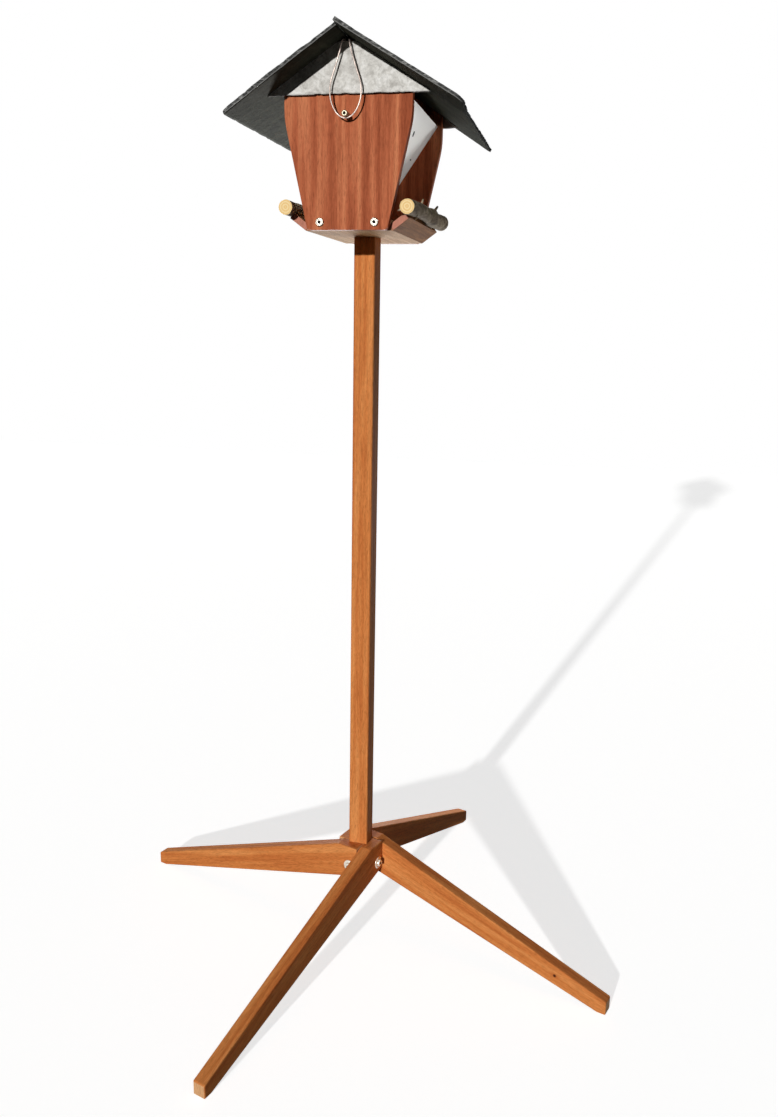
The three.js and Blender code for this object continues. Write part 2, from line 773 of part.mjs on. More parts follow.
function stud() {
  const grooveTo = studGrooveFrom + studGrooveWidth;
  const body = turned([
    [0, -studShankLength],
    [studShankRadius, -studShankLength],
    [studShankRadius, 0],
    [studRadius, 0],
    [studRadius, studGrooveFrom],
    [studRadius - studGroove, studGrooveFrom + studGroove],
    [studRadius - studGroove, grooveTo - studGroove],
    [studRadius, grooveTo],
    [studRadius, studLength - studEdge],
    [studRadius - studEdge, studLength],
    [0, studLength],
  ], roundSides);
  const socket = rod(studSocket, studLength - studSocketDepth, studLength + cutOverrun, 6);
  return toFront(cut(body, [socket]), 0, studHeight, -headHalf);
}

function feeder() {
  const head = new THREE.Group();
  head.position.z = headBase;
  head.add(node('floor_board', floorBoard(), 'floor'));
  head.add(node('front_board', frontBoard(), 'board'));
  head.add(node('back_board', backBoard(), 'board'));
  head.add(node('trough_panel_right', troughPanel(), 'board'));
  head.add(node('trough_panel_left', troughPanel().rotateZ(Math.PI), 'board'));
  head.add(node('perch_right', perch(0.4), 'bark'));
  head.add(node('perch_left', mirrored(perch(2.1)), 'bark'));
  head.add(node('hopper_pane_right', pane(), 'pane'));
  head.add(node('hopper_pane_left', pane().rotateZ(Math.PI), 'pane'));
  head.add(node('tie_bar', tieBar(), 'board'));
  head.add(node('gable_slate_front', gableSlate(1), 'gableSlate'));
  head.add(node('gable_slate_back', gableSlate(4).rotateZ(Math.PI), 'gableSlate'));
  const ends = [['front', 0], ['back', Math.PI]];
  for (const [end, turn] of ends) {
    head.add(node(`tie_screw_${end}`, tieScrew().rotateZ(turn), 'steel'));
    for (const [side, x] of [['left', -footScrewOut], ['right', footScrewOut]]) {
      head.add(node(`foot_screw_${end}_${side}`, footScrew().rotateZ(turn).translate(x, 0, 0), 'steel'));
      head.add(node(`foot_ring_${end}_${side}`, footRing().rotateZ(turn).translate(x, 0, 0), 'steel'));
    }
  }
  for (const [side, turn] of [['right', 0], ['left', Math.PI]]) {
    dowelPlaces.forEach((y, i) => {
      const name = `perch_dowel_${side}_${(i === 0) === (turn === 0) ? 'front' : 'back'}`;
      head.add(node(name, dowelAt(y, 0).rotateZ(turn), 'dowel'));
    });
  }
  const screwLength = floorThick + coachWasherThick + seatGap + coachBite;
  const upperScrew = coachScrew(screwLength).translate(0, 0, floorThick + coachWasherThick);
  head.add(node('pole_screw_top', upperScrew, 'steel'));
  const washer = ring(coachRadius + boreGap, coachWasherRadius, coachWasherRadius, coachWasherThick);
  head.add(node('pole_washer_top', washer.translate(0, 0, floorThick), 'steel'));
  head.add(node('wire_stud', stud(), 'steel'));
  return head;
}

// The same solid on the other side of the middle, with its faces still pointing out.
function mirrored(geometry) {
  const copy = geometry.clone().applyMatrix4(new THREE.Matrix4().makeScale(-1, 1, 1));
  const order = copy.index.array;
  for (let i = 0; i < order.length; i += 3) {
    [order[i + 1], order[i + 2]] = [order[i + 2], order[i + 1]];
  }
  return copy;
}

function roof() {
  const cap = new THREE.Group();
  cap.position.z = headBase;
  const leftStop = (seatGap + slateThick * Math.cos(2 * roofPitch)) / (2 * Math.sin(roofPitch));
  cap.add(node('roof_slate_left', roofSlateAt(-1, leftStop, 0.7), 'roofSlate'));
  cap.add(node('roof_slate_right', roofSlateAt(1, -rightRidgeLap, 2.9), 'roofSlate'));
  rafterPlaces.forEach((y, i) => {
    const end = i === 0 ? 'front' : 'back';
    cap.add(node(`rafter_${end}`, i === 0 ? frontRafter(y) : rafter(y), 'board'));
    for (const [name, side] of [['left', -1], ['right', 1]]) {
      cap.add(node(`roof_screw_${end}_${name}`, roofScrewAt(side, side * y), 'steel'));
      cap.add(node(`roof_washer_${end}_${name}`, roofWasherAt(side, side * y), 'steel'));
    }
  });
  cap.add(node('wire_ferrule', ferrule(rafterPlaces[0]), 'steel'));
  cap.add(node('wire_loop', wireLoop(), 'steel'));
  return cap;
}

const birdTable = new THREE.Group();
birdTable.add(stand(), feeder(), roof());

export default birdTable;
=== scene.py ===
"""Dresses the bird table: slates, bark, oiled wood, milky panes, steel screws and the wire loop.

Lengths are in metres in the frame's own axes: +Z up, the gable with the wire loop faces -Y, +X to its right.
"""
import math

import bpy
from mathutils import Euler, Matrix, Vector, noise


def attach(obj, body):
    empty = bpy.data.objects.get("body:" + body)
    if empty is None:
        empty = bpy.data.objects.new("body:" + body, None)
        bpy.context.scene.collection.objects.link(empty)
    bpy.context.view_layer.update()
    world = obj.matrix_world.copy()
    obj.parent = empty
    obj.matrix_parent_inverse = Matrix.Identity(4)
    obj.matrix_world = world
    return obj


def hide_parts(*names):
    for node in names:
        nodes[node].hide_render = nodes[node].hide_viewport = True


MM = 0.001

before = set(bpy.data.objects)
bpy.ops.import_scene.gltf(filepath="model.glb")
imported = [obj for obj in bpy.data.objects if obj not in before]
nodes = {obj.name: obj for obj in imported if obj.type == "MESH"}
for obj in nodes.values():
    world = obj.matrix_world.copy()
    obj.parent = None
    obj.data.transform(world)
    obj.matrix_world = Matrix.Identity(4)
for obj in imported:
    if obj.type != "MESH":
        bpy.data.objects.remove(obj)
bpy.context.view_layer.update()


# Camera: solved from the photograph's straight edges, for a picture of 778 by 1117 pixels
PICTURE_HEIGHT = 1117
FOCAL_PIXELS = 971.31
SENSOR = 36.0  # millimetres, as Blender's lens is
CAMERA_PLACE = Vector((0.359, -1.462, 1.0306))
CAMERA_YAW = math.radians(12.28)
CAMERA_PITCH = math.radians(-13.61)
CAMERA_ROLL = math.radians(1.02)


def make_camera():
    forward = Vector((
        -math.sin(CAMERA_YAW) * math.cos(CAMERA_PITCH),
        math.cos(CAMERA_YAW) * math.cos(CAMERA_PITCH),
        math.sin(CAMERA_PITCH),
    ))
    level = Vector((math.cos(CAMERA_YAW), math.sin(CAMERA_YAW), 0))
    above = level.cross(forward)
    right = math.cos(CAMERA_ROLL) * level + math.sin(CAMERA_ROLL) * above
    up = math.cos(CAMERA_ROLL) * above - math.sin(CAMERA_ROLL) * level
    data = bpy.data.cameras.new("camera")
    data.sensor_width = SENSOR
    data.lens = FOCAL_PIXELS * SENSOR / PICTURE_HEIGHT
    camera = bpy.data.objects.new("camera", data)
    turn = Matrix((right, up, -forward)).transposed().to_4x4()
    camera.matrix_world = Matrix.Translation(CAMERA_PLACE) @ turn
    bpy.context.scene.collection.objects.link(camera)
    bpy.context.scene.camera = camera


# Wire loop: one half of its route in millimetres, from the ferrule over the gable and down to the stud
HEAD_BASE = 1.153  # height of the feeder's underside, from which the route's heights are measured
WIRE_ROUTE = [
    (1.7, -108, 229.5), (1.8, -112, 230), (2.1, -117, 233), (2.6, -121, 234.6), (3.2, -126, 234.6),
    (4.4, -130.4, 232.8), (5.8, -132.2, 228), (7.4, -132.8, 220), (11, -132.8, 209), (15.4, -132.4, 196),
    (19.3, -131.8, 185), (21.2, -131.4, 174), (20.2, -131, 162), (16, -130.7, 151), (9, -130.5, 142.4),
    (0, -130.5, 139.1),
]
WIRE_RADIUS = 1.0 * MM
WIRE_STRANDS = 6
WIRE_GROOVE = 0.1  # depth of the grooves between the strands, as a share of the radius
WIRE_LAY = 9.0 * MM  # length of one turn of a strand
WIRE_SIDES = 36
ROUTE_STEPS = 8


def between(a, b, c, d, share):
    """A point from b to c on the smooth curve through a, b, c and d."""
    bend = 2 * a - 5 * b + 4 * c - d
    twist = 3 * b - a - 3 * c + d
    return (2 * b + (c - a) * share + bend * share ** 2 + twist * share ** 3) / 2


def smooth_route(points, steps):
    ends = [2 * points[0] - points[1], *points, 2 * points[-1] - points[-2]]
    route = [
        between(*ends[i:i + 4], step / steps)
        for i in range(len(points) - 1)
        for step in range(steps)
    ]
    return [*route, points[-1]]


def wire_path():
    half = [Vector((x, y, z)) * MM + Vector((0, 0, HEAD_BASE)) for x, y, z in WIRE_ROUTE]
    other = [Vector((-p.x, p.y, p.z)) for p in reversed(half[:-1])]
    return smooth_route([*half, *other], ROUTE_STEPS)


def length_of(path):
    return sum((b - a).length for a, b in zip(path, path[1:]))


def link_mesh(name, points, faces):
    mesh = bpy.data.meshes.new(name)
    mesh.from_pydata([tuple(p) for p in points], [], faces)
    mesh.shade_smooth()
    piece = bpy.data.objects.new(name, mesh)
    bpy.context.scene.collection.objects.link(piece)
    return piece


def skin(rings, closed_ends=True):
    """The faces over a stack of rings with the same number of points, and over both ends."""
    sides = len(rings[0])
    faces = []
    for i in range(len(rings) - 1):
        for j in range(sides):
            a = i * sides + j
            b = i * sides + (j + 1) % sides
            faces.append((a, b, b + sides, a + sides))
    if closed_ends:
        last = (len(rings) - 1) * sides
        faces.append(tuple(reversed(range(sides))))
        faces.append(tuple(range(last, last + sides)))
    return faces


def strand_radius(angle):
    return WIRE_RADIUS * (1 - WIRE_GROOVE * (1 - abs(math.cos(WIRE_STRANDS * angle / 2))))


def make_wire():
    path = wire_path()
    rings = []
    side = Vector((0, 0, 1)).cross(path[1] - path[0]).normalized()
    gone = 0.0
    for i, point in enumerate(path):
        ahead = (path[min(i + 1, len(path) - 1)] - path[max(i - 1, 0)]).normalized()
        side = (side - ahead * side.dot(ahead)).normalized()
        up = ahead.cross(side)
        if i:
            gone += (point - path[i - 1]).length
        turn = 2 * math.pi * gone / WIRE_LAY
        angles = [2 * math.pi * j / WIRE_SIDES for j in range(WIRE_SIDES)]
        rings.append([
            point + (side * math.cos(a) + up * math.sin(a)) * strand_radius(a - turn) for a in angles
        ])
    wire = link_mesh("wire_loop_strands", [p for ring in rings for p in ring], skin(rings))
    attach(wire, "roof")
    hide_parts("wire_loop")
    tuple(path[0])
    length_of(path)
    return wire


# Light and floor
SUN_TRAVEL = Vector((0.2, 1.0, -0.25))
SUN_STRENGTH = 3.0
SUN_SOFTNESS = math.radians(1.2)
SKY_STRENGTH = 0.03
BACK_LEFT = Vector((-0.45, 1.75, 0.5))
BACK_RIGHT = Vector((0.95, 1.45, 0.45))
LAMPS = {  # place, width, height and power of each soft lamp
    "above": (Vector((0.3, 0.1, 3.2)), 1.4, 1.4, 12),
    "back_left": (BACK_LEFT, 1.0, 0.4, 26),
    "back_right": (BACK_RIGHT, 0.7, 0.4, 11),
    "stand_right": (BACK_RIGHT, 0.7, 0.4, 3),
    "slate_left": (BACK_LEFT, 1.0, 0.4, 58),
    "slate_right": (BACK_LEFT, 1.0, 0.4, 13),
    "pane_left": (Vector((-0.6, -0.3, 1.12)), 0.3, 0.3, 1.9),
    "pane_right": (Vector((0.6, -0.3, 1.12)), 0.3, 0.3, 1.9),
}
LAMP_AIM = Vector((0, 0, 1.25))
FLOOR_SIZE = 12.0
WHITE = (1, 1, 1, 1)
FLOOR_COLOUR = (0.86, 0.86, 0.85, 1)
FLOOR_BOUNCE = (0.07, 0.07, 0.07, 1)  # the floor as the light that it sends on meets it
FLOOR_GLOW = 0.74
FLOOR_ROUGHNESS = 0.9


def make_sun():
    data = bpy.data.lights.new("sun", "SUN")
    data.energy = SUN_STRENGTH
    data.angle = SUN_SOFTNESS
    sun = bpy.data.objects.new("sun", data)
    sun.rotation_mode = "QUATERNION"
    sun.rotation_quaternion = SUN_TRAVEL.to_track_quat("-Z", "Y")
    bpy.context.scene.collection.objects.link(sun)


def linked(name, pieces, state):
    """A collection that says which pieces a lamp lights, or which it leaves out."""
    receivers = bpy.data.collections.new(name)
    for piece in pieces:
        receivers.objects.link(piece)
    for entry in receivers.collection_objects:
        entry.light_linking.link_state = state
    return receivers


def make_lamps(receivers):
    """receivers gives each lamp's pieces, and whether it lights only these or leaves them out."""
    for name, (place, width, height, power) in LAMPS.items():
        data = bpy.data.lights.new(f"lamp_{name}", "AREA")
        data.shape = "RECTANGLE"
        data.size = width
        data.size_y = height
        data.energy = power
        lamp = bpy.data.objects.new(f"lamp_{name}", data)
        lamp.visible_camera = False
        lamp.location = place
        lamp.rotation_mode = "QUATERNION"
        lamp.rotation_quaternion = (LAMP_AIM - place).to_track_quat("-Z", "Y")
        lamp.light_linking.receiver_collection = linked(f"{name}_receivers", *receivers[name])
        bpy.context.scene.collection.objects.link(lamp)


def seen_directly(tree):
    """1 for the camera's rays and for those that a mirror or a clear piece sends on, 0 for light."""
    path = tree.nodes.new("ShaderNodeLightPath")
    total = None
    for name in ("Is Camera Ray", "Is Glossy Ray", "Is Transmission Ray"):
        if total is None:
            total = path.outputs[name]
            continue
        both = tree.nodes.new("ShaderNodeMath")
        both.operation = "MAXIMUM"
        tree.links.new(total, both.inputs[0])
        tree.links.new(path.outputs[name], both.inputs[1])
        total = both.outputs[0]
    return total


def make_world():
    world = bpy.data.worlds.new("studio")
    bpy.context.scene.world = world
    world.use_nodes = True
    tree = world.node_tree
    tree.nodes.clear()
    soft = tree.nodes.new("ShaderNodeBackground")
    soft.inputs["Color"].default_value = WHITE
    soft.inputs["Strength"].default_value = SKY_STRENGTH
    white = tree.nodes.new("ShaderNodeBackground")
    white.inputs["Color"].default_value = WHITE
    mix = tree.nodes.new("ShaderNodeMixShader")
    out = tree.nodes.new("ShaderNodeOutputWorld")
    tree.links.new(seen_directly(tree), mix.inputs[0])
    tree.links.new(soft.outputs[0], mix.inputs[1])
    tree.links.new(white.outputs[0], mix.inputs[2])
    tree.links.new(mix.outputs[0], out.inputs[0])


def make_floor():
    mesh = bpy.data.meshes.new("floor")
    half = FLOOR_SIZE / 2
    corners = [(-half, -half, 0), (half, -half, 0), (half, half, 0), (-half, half, 0)]
    mesh.from_pydata(corners, [], [(0, 1, 2, 3)])
    floor = bpy.data.objects.new("floor", mesh)
    bpy.context.scene.collection.objects.link(floor)
    material = bpy.data.materials.new("floor")
    material.use_nodes = True
    tree = material.node_tree
    shader = tree.nodes["Principled BSDF"]
    shader.inputs["Base Color"].default_value = FLOOR_COLOUR
    shader.inputs["Roughness"].default_value = FLOOR_ROUGHNESS
    bounce = tree.nodes.new("ShaderNodeBsdfDiffuse")
    bounce.inputs["Color"].default_value = FLOOR_BOUNCE
    glow = tree.nodes.new("ShaderNodeEmission")
    glow.inputs["Strength"].default_value = FLOOR_GLOW
    add = tree.nodes.new("ShaderNodeAddShader")
    mix = tree.nodes.new("ShaderNodeMixShader")
    tree.links.new(shader.outputs[0], add.inputs[0])
    tree.links.new(glow.outputs[0], add.inputs[1])
    tree.links.new(seen_directly(tree), mix.inputs[0])
    tree.links.new(bounce.outputs[0], mix.inputs[1])
    tree.links.new(add.outputs[0], mix.inputs[2])
    tree.links.new(mix.outputs[0], tree.nodes["Material Output"].inputs[0])
    mesh.materials.append(material)
    return floor


# Looks
def tone(red, green, blue):
    """A colour from its eight-bit display values, as the shaders take it."""
    def plain(level):
        level /= 255
        return level / 12.92 if level <= 0.04045 else ((level + 0.055) / 1.055) ** 2.4
    return (plain(red), plain(green), plain(blue), 1)


def grey(level):
    return (level, level, level, 1)


def dimmed(colour, share):
    return (*(share * level for level in colour[:3]), 1)


class Look:
    """A material being built. A value that is another node's output is joined, any other is set."""

    def __init__(self, name, **surface):
        self.material = bpy.data.materials.new(name)
        self.material.use_nodes = True
        self.tree = self.material.node_tree
        self.shader = self.tree.nodes["Principled BSDF"]
        self.surface(**surface)

    def fill(self, socket, value):
        if isinstance(value, bpy.types.NodeSocket):
            self.tree.links.new(value, socket)
        else:
            socket.default_value = value

    def surface(self, **values):
        for name, value in values.items():
            self.fill(self.shader.inputs[name.replace("_", " ").title().replace("Ior", "IOR")], value)

    def places(self, turn=(0, 0, 0), size=(1, 1, 1), middle=(0, 0, 0)):
        """Places on the piece along turned axes, measured in a feature's size, one number or three."""
        source = self.tree.nodes.new("ShaderNodeTexCoord")
        mapping = self.tree.nodes.new("ShaderNodeMapping")
        mapping.vector_type = "TEXTURE"
        self.tree.links.new(source.outputs["Object"], mapping.inputs["Vector"])
        mapping.inputs["Location"].default_value = middle
        mapping.inputs["Rotation"].default_value = turn
        mapping.inputs["Scale"].default_value = size if isinstance(size, tuple) else (size, size, size)
        return mapping.outputs[0]

    def clouds(self, places, detail=3.0, rough=0.55, warp=0.0):
        node = self.tree.nodes.new("ShaderNodeTexNoise")
        self.tree.links.new(places, node.inputs["Vector"])
        node.inputs["Scale"].default_value = 1
        node.inputs["Detail"].default_value = detail
        node.inputs["Roughness"].default_value = rough
        node.inputs["Distortion"].default_value = warp
        return node.outputs["Fac"]

    def rings(self, places, warp=0.0, axis="Y"):
        node = self.tree.nodes.new("ShaderNodeTexWave")
        node.wave_type = "RINGS"
        node.rings_direction = axis
        self.tree.links.new(places, node.inputs["Vector"])
        node.inputs["Scale"].default_value = 1
        node.inputs["Distortion"].default_value = warp
        node.inputs["Detail"].default_value = 2
        return node.outputs["Fac"]

    def spot(self, middle, turn, size, soft=0.25):
        """1 inside a ball or an ellipsoid with the given half size or sizes, 0 outside."""
        node = self.tree.nodes.new("ShaderNodeVectorMath")
        node.operation = "LENGTH"
        self.tree.links.new(self.places(turn, size, middle), node.inputs[0])
        return self.levels(node.outputs["Value"], 1 - soft, 1 + soft, 1, 0)

    def tones(self, share, stops):
        node = self.tree.nodes.new("ShaderNodeValToRGB")
        self.tree.links.new(share, node.inputs["Fac"])
        marks = node.color_ramp.elements
        while len(marks) < len(stops):
            marks.new(0.5)
        for mark, (place, colour) in zip(marks, stops):
            mark.position = place
            mark.color = colour
        return node.outputs["Color"]

    def levels(self, share, low, high, floor=0.0, top=1.0):
        node = self.tree.nodes.new("ShaderNodeMapRange")
        self.tree.links.new(share, node.inputs["Value"])
        for name, value in (("From Min", low), ("From Max", high), ("To Min", floor), ("To Max", top)):
            node.inputs[name].default_value = value
        return node.outputs["Result"]

    def mix(self, share, first, second, blend="MIX"):
        node = self.tree.nodes.new("ShaderNodeMix")
        node.data_type = "RGBA"
        node.blend_type = blend
        sockets = {s.identifier: s for s in node.inputs}
        self.fill(sockets["Factor_Float"], share)
        self.fill(sockets["A_Color"], first)
        self.fill(sockets["B_Color"], second)
        return next(s for s in node.outputs if s.identifier == "Result_Color")

    def bump(self, height, depth, strength=1.0):
        node = self.tree.nodes.new("ShaderNodeBump")
        node.inputs["Distance"].default_value = depth
        node.inputs["Strength"].default_value = strength
        self.tree.links.new(height, node.inputs["Height"])
        self.tree.links.new(node.outputs["Normal"], self.shader.inputs["Normal"])

    def through(self):
        """0 on a slate's inner face and 1 on its outer one."""
        node = self.tree.nodes.new("ShaderNodeAttribute")
        node.attribute_name = "through"
        return node.outputs["Fac"]

    def facing(self, turn, low, high):
        """1 where the surface faces along the turned X axis, 0 where it runs along it."""
        source = self.tree.nodes.new("ShaderNodeTexCoord")
        dot = self.tree.nodes.new("ShaderNodeVectorMath")
        dot.operation = "DOT_PRODUCT"
        self.tree.links.new(source.outputs["Normal"], dot.inputs[0])
        dot.inputs[1].default_value = Euler(turn).to_matrix() @ Vector((1, 0, 0))
        size = self.tree.nodes.new("ShaderNodeMath")
        size.operation = "ABSOLUTE"
        self.tree.links.new(dot.outputs["Value"], size.inputs[0])
        return self.levels(size.outputs[0], low, high)


GRAIN_UP = (0, -math.pi / 2, 0)
GRAIN_BACK = (0, 0, math.pi / 2)
GRAIN_ACROSS = (0, 0, 0)
STRIPE_LONGER = 24  # a stripe's length in its own widths
FIGURE_SIZE = (70 * MM, 2.6 * MM, 2.6 * MM)
FIGURE_TONES = [(0.3, (0.82, 0.79, 0.76, 1)), (0.5, WHITE), (0.72, (1.1, 1.12, 1.14, 1))]
DASH_SIZE = (12 * MM, 2.2 * MM, 2.2 * MM)
DASH_TONES = [(0.35, (0.86, 0.84, 0.82, 1)), (0.5, WHITE), (0.65, grey(1.1))]
PORE_SIZE = (9 * MM, 0.7 * MM, 0.7 * MM)
PORE_SHARE = 0.45  # of the darkest shade's light
END_RING_SIZE = (1, 1.6 * MM, 9 * MM)
END_RING_SHARE = 0.66
KNOT_HALO = (3.2, 1.5, 1.5)  # half sizes of the dark wood round a knot, in the knot's own
WOOD_RELIEF = 0.25 * MM
SEED_STEPS = (0.37, 0.21, 0.13)  # how far each seed moves the pattern along each axis


def wood(name, shades, end_shade, turn, band, seed, roughness=0.5, band_warp=0.6, knots=(), figured=1.0):
    """Wood with its grain along the turned X axis. shades go from dark to light, band is a stripe's width."""
    look = Look(name, roughness=roughness, specular_ior_level=0.02)
    shift = tuple(step * seed for step in SEED_STEPS)
    dark, middle, light = shades
    stripes = look.clouds(look.places(turn, (band * STRIPE_LONGER, band, band), shift), 3.0, 0.55, band_warp)
    colour = look.tones(stripes, [(0.36, dark), (0.5, middle), (0.64, light)])
    figure = look.clouds(look.places(turn, FIGURE_SIZE, shift), 4.0, 0.6, 0.4)
    colour = look.mix(figured, colour, look.tones(figure, FIGURE_TONES), "MULTIPLY")
    dashes = look.clouds(look.places(turn, DASH_SIZE, shift), 3.0, 0.7, 0.5)
    colour = look.mix(1.0, colour, look.tones(dashes, DASH_TONES), "MULTIPLY")
    pores = look.clouds(look.places(turn, PORE_SIZE, shift), 2.0, 0.5)
    colour = look.mix(look.levels(pores, 0.56, 0.7, 0, 0.5), colour, dimmed(dark, PORE_SHARE))
    rings = look.clouds(look.places(turn, END_RING_SIZE, shift), 3.0, 0.6, 0.8)
    end = look.mix(look.levels(rings, 0.3, 0.7), end_shade, dimmed(end_shade, END_RING_SHARE))
    colour = look.mix(look.facing(turn, 0.8, 0.95), colour, end)
    for place, half in knots:
        halo = tuple(share * half for share in KNOT_HALO)
        colour = look.mix(look.spot(place, turn, halo, 0.5), colour, dark)
        colour = look.mix(look.spot(place, turn, half, 0.4), colour, KNOT_SHADE)
    look.surface(base_color=colour)
    look.bump(look.mix(0.5, figure, pores), WOOD_RELIEF, 0.5)
    return look.material


BOARD_SHADES = (tone(156, 79, 49), tone(180, 98, 64), tone(206, 126, 86))
BOARD_END = tone(204, 142, 116)
LEG_SIDES = ("right", "back", "left", "front")
STAND_WOOD = (*(f"leg_{side}" for side in LEG_SIDES), "hub_block", "pole")
STAND_SHADES = (tone(193, 110, 56), tone(206, 125, 66), tone(218, 141, 80))
STAND_END = tone(230, 176, 126)
FLOOR_SHADES = (tone(206, 160, 114), tone(226, 182, 134), tone(238, 198, 152))
PANEL_SHADES = (tone(126, 82, 48), tone(160, 109, 67), tone(188, 132, 84))
PANEL_END = tone(206, 138, 116)
DOWEL_SHADES = (tone(206, 172, 120), tone(220, 190, 142), tone(232, 206, 162))
KNOT_SHADE = tone(70, 34, 20)
LEG_KNOTS = {"right": [((0.3415, -0.1012, 0.0363), 2.5 * MM)]}  # place and half size of each knot
LEGS_TURN = math.radians(-18.8)
LEG_FALL = math.radians(17.6)  # of a leg's middle line, below the level
STAND_BAND = 12 * MM
BOARD_BAND = 17 * MM
INNER_BAND = 10 * MM
PANEL_BAND = 9 * MM
DOWEL_BAND = 4 * MM
LEG_BEVEL = 2 * MM
HUB_BEVEL = 0.8 * MM
BOARD_BEVEL = 0.7 * MM
PANEL_BEVEL = 0.6 * MM
INNER_BEVEL = 0.5 * MM
POLE_BEVEL = 0.4 * MM
PANE_BEVEL = 0.3 * MM
BEVEL_STEPS = 3
SHARP_FROM = math.radians(32)  # edges that turn more than this are bevelled
SAME_POINT = 0.01 * MM


def clothe(name, material, bevel=0.0):
    """Gives a CAD piece its material and, where asked, softly rounded edges."""
    piece = nodes[name]
    piece.data.materials.clear()
    piece.data.materials.append(material)
    weld = piece.modifiers.new("weld", "WELD")
    weld.merge_threshold = SAME_POINT
    if bevel:
        edge = piece.modifiers.new("edge", "BEVEL")
        edge.width = bevel
        edge.segments = BEVEL_STEPS
        edge.limit_method = "ANGLE"
        edge.angle_limit = SHARP_FROM
    piece.data.normals_split_custom_set([(0, 0, 0)] * len(piece.data.loops))
    piece.data.shade_flat()


def dress_stand():
    for quarter, side in enumerate(LEG_SIDES):
        leg = wood(
            f"oiled_leg_{side}", STAND_SHADES, STAND_END, (0, LEG_FALL, LEGS_TURN + quarter * math.pi / 2),
            STAND_BAND, quarter + 1, knots=LEG_KNOTS.get(side, ()), figured=0.55,
        )
        clothe(f"leg_{side}", leg, LEG_BEVEL)
    hub = wood("oiled_hub", STAND_SHADES, STAND_END, (0, 0, LEGS_TURN), STAND_BAND, 7)
    clothe("hub_block", hub, HUB_BEVEL)
    pole = wood("oiled_pole", STAND_SHADES, STAND_END, GRAIN_UP, STAND_BAND, 9, figured=0.55)
    clothe("pole", pole, POLE_BEVEL)


def dress_feeder():
    board = wood("ribbon_board", BOARD_SHADES, BOARD_END, GRAIN_UP, BOARD_BAND, 3, band_warp=0.3)
    bottom = wood("feeder_floor", FLOOR_SHADES, BOARD_END, GRAIN_BACK, INNER_BAND, 5, 0.7)
    panel = wood("trough_panel", PANEL_SHADES, PANEL_END, GRAIN_BACK, PANEL_BAND, 6, 0.65)
    inner = wood("inner_frame", BOARD_SHADES, BOARD_END, GRAIN_ACROSS, INNER_BAND, 8)
    tie = wood("tie_bar", BOARD_SHADES, BOARD_END, GRAIN_BACK, INNER_BAND, 4)
    for name, material, bevel in (
        ("front_board", board, BOARD_BEVEL), ("back_board", board, BOARD_BEVEL),
        ("floor_board", bottom, INNER_BEVEL),
        ("trough_panel_right", panel, PANEL_BEVEL), ("trough_panel_left", panel, PANEL_BEVEL),
        ("rafter_front", inner, INNER_BEVEL), ("rafter_back", inner, INNER_BEVEL),
        ("tie_bar", tie, INNER_BEVEL),
    ):
        clothe(name, material, bevel)
    dowel = wood("dowel", DOWEL_SHADES, DOWEL_SHADES[2], GRAIN_ACROSS, DOWEL_BAND, 2)
    for name in nodes:
        if name.startswith("perch_dowel"):
            clothe(name, dowel)


# Screws, rings and the stud
STEEL = (tone(234, 227, 213), tone(208, 201, 188))
# painted shade: the dark that falls in a screw socket's recess
SOCKET_PAINTED_SHADE = (tone(58, 54, 49), tone(28, 25, 22))
BRASSY = (tone(176, 169, 148), tone(104, 97, 78))
WIRE_STEEL = (tone(205, 190, 181), tone(148, 133, 124))
METAL_GRAIN = 0.4 * MM
WIRE_GRAIN = 0.8 * MM
METAL_PATCH = 9  # a worn patch's width in grains
METAL_RELIEF = 0.02 * MM
TURNED_SIDES = 48
ROUNDING = 0.3 * MM
ROUNDING_LIMIT = 0.4  # of an edge's length


def metal(name, light, dark, roughness, grain=METAL_GRAIN):
    look = Look(name, metallic=1.0, roughness=roughness)
    worn = look.clouds(look.places(size=grain), 3.0)
    wide = look.clouds(look.places(size=METAL_PATCH * grain), 2.0)
    fine = look.tones(worn, [(0.3, dark), (0.62, light)])
    look.surface(base_color=look.mix(look.levels(wide, 0.4, 0.75, 0, 0.35), fine, dark))
    look.bump(worn, METAL_RELIEF, 0.4)
    return look.material


def hexagonal(angle):
    """How far a hexagon's edge lies at an angle, as a share of its corners."""
    sixth = math.pi / 3
    return math.cos(sixth / 2) / math.cos(angle % sixth - sixth / 2)


def rounded(outline):
    """The outline of (radius, height, six_sided) points with each corner softened by two points."""
    points = []
    for i, (r, h, six) in enumerate(outline):
        for other in (i - 1, i + 1):
            if not 0 <= other < len(outline):
                points.append((r, h, six))
                continue
            dr, dh = outline[other][0] - r, outline[other][1] - h
            share = min(ROUNDING_LIMIT, ROUNDING / math.hypot(dr, dh))
            points.append((r + dr * share, h + dh * share, six))
    return points


def turned(node, outline, foot, axis, is_ring=False):
    """Turns an outline of (radius, height, six_sided) points round an axis from its foot, for a CAD node."""
    outline = [(r * MM, h * MM, six) for r, h, six in outline]
    side = axis.orthogonal().normalized()
    up = axis.cross(side)
    rings = []
    for r, h, six in rounded(outline):
        ring = []
        for j in range(TURNED_SIDES):
            angle = 2 * math.pi * j / TURNED_SIDES
            reach = r * (hexagonal(angle) if six else 1)
            ring.append(foot + axis * h + (side * math.cos(angle) + up * math.sin(angle)) * reach)
        rings.append(ring)
    if is_ring:
        rings.append(rings[0])
    piece = link_mesh(f"{node}_turned", [p for ring in rings for p in ring], skin(rings, not is_ring))
    body = "roof" if node.startswith("roof") else "root"
    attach(piece, body)
    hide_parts(node)
    return piece


def paint_shade(piece, first, last):
    """Paints shade on a turned piece's bands of faces, from first up to last, in the dark look of a socket's
    inside.
    """
    piece.data.materials.append(PAINTED_SHADE_LOOK)
    for polygon in piece.data.polygons[first * TURNED_SIDES:last * TURNED_SIDES]:
        polygon.material_index = 1


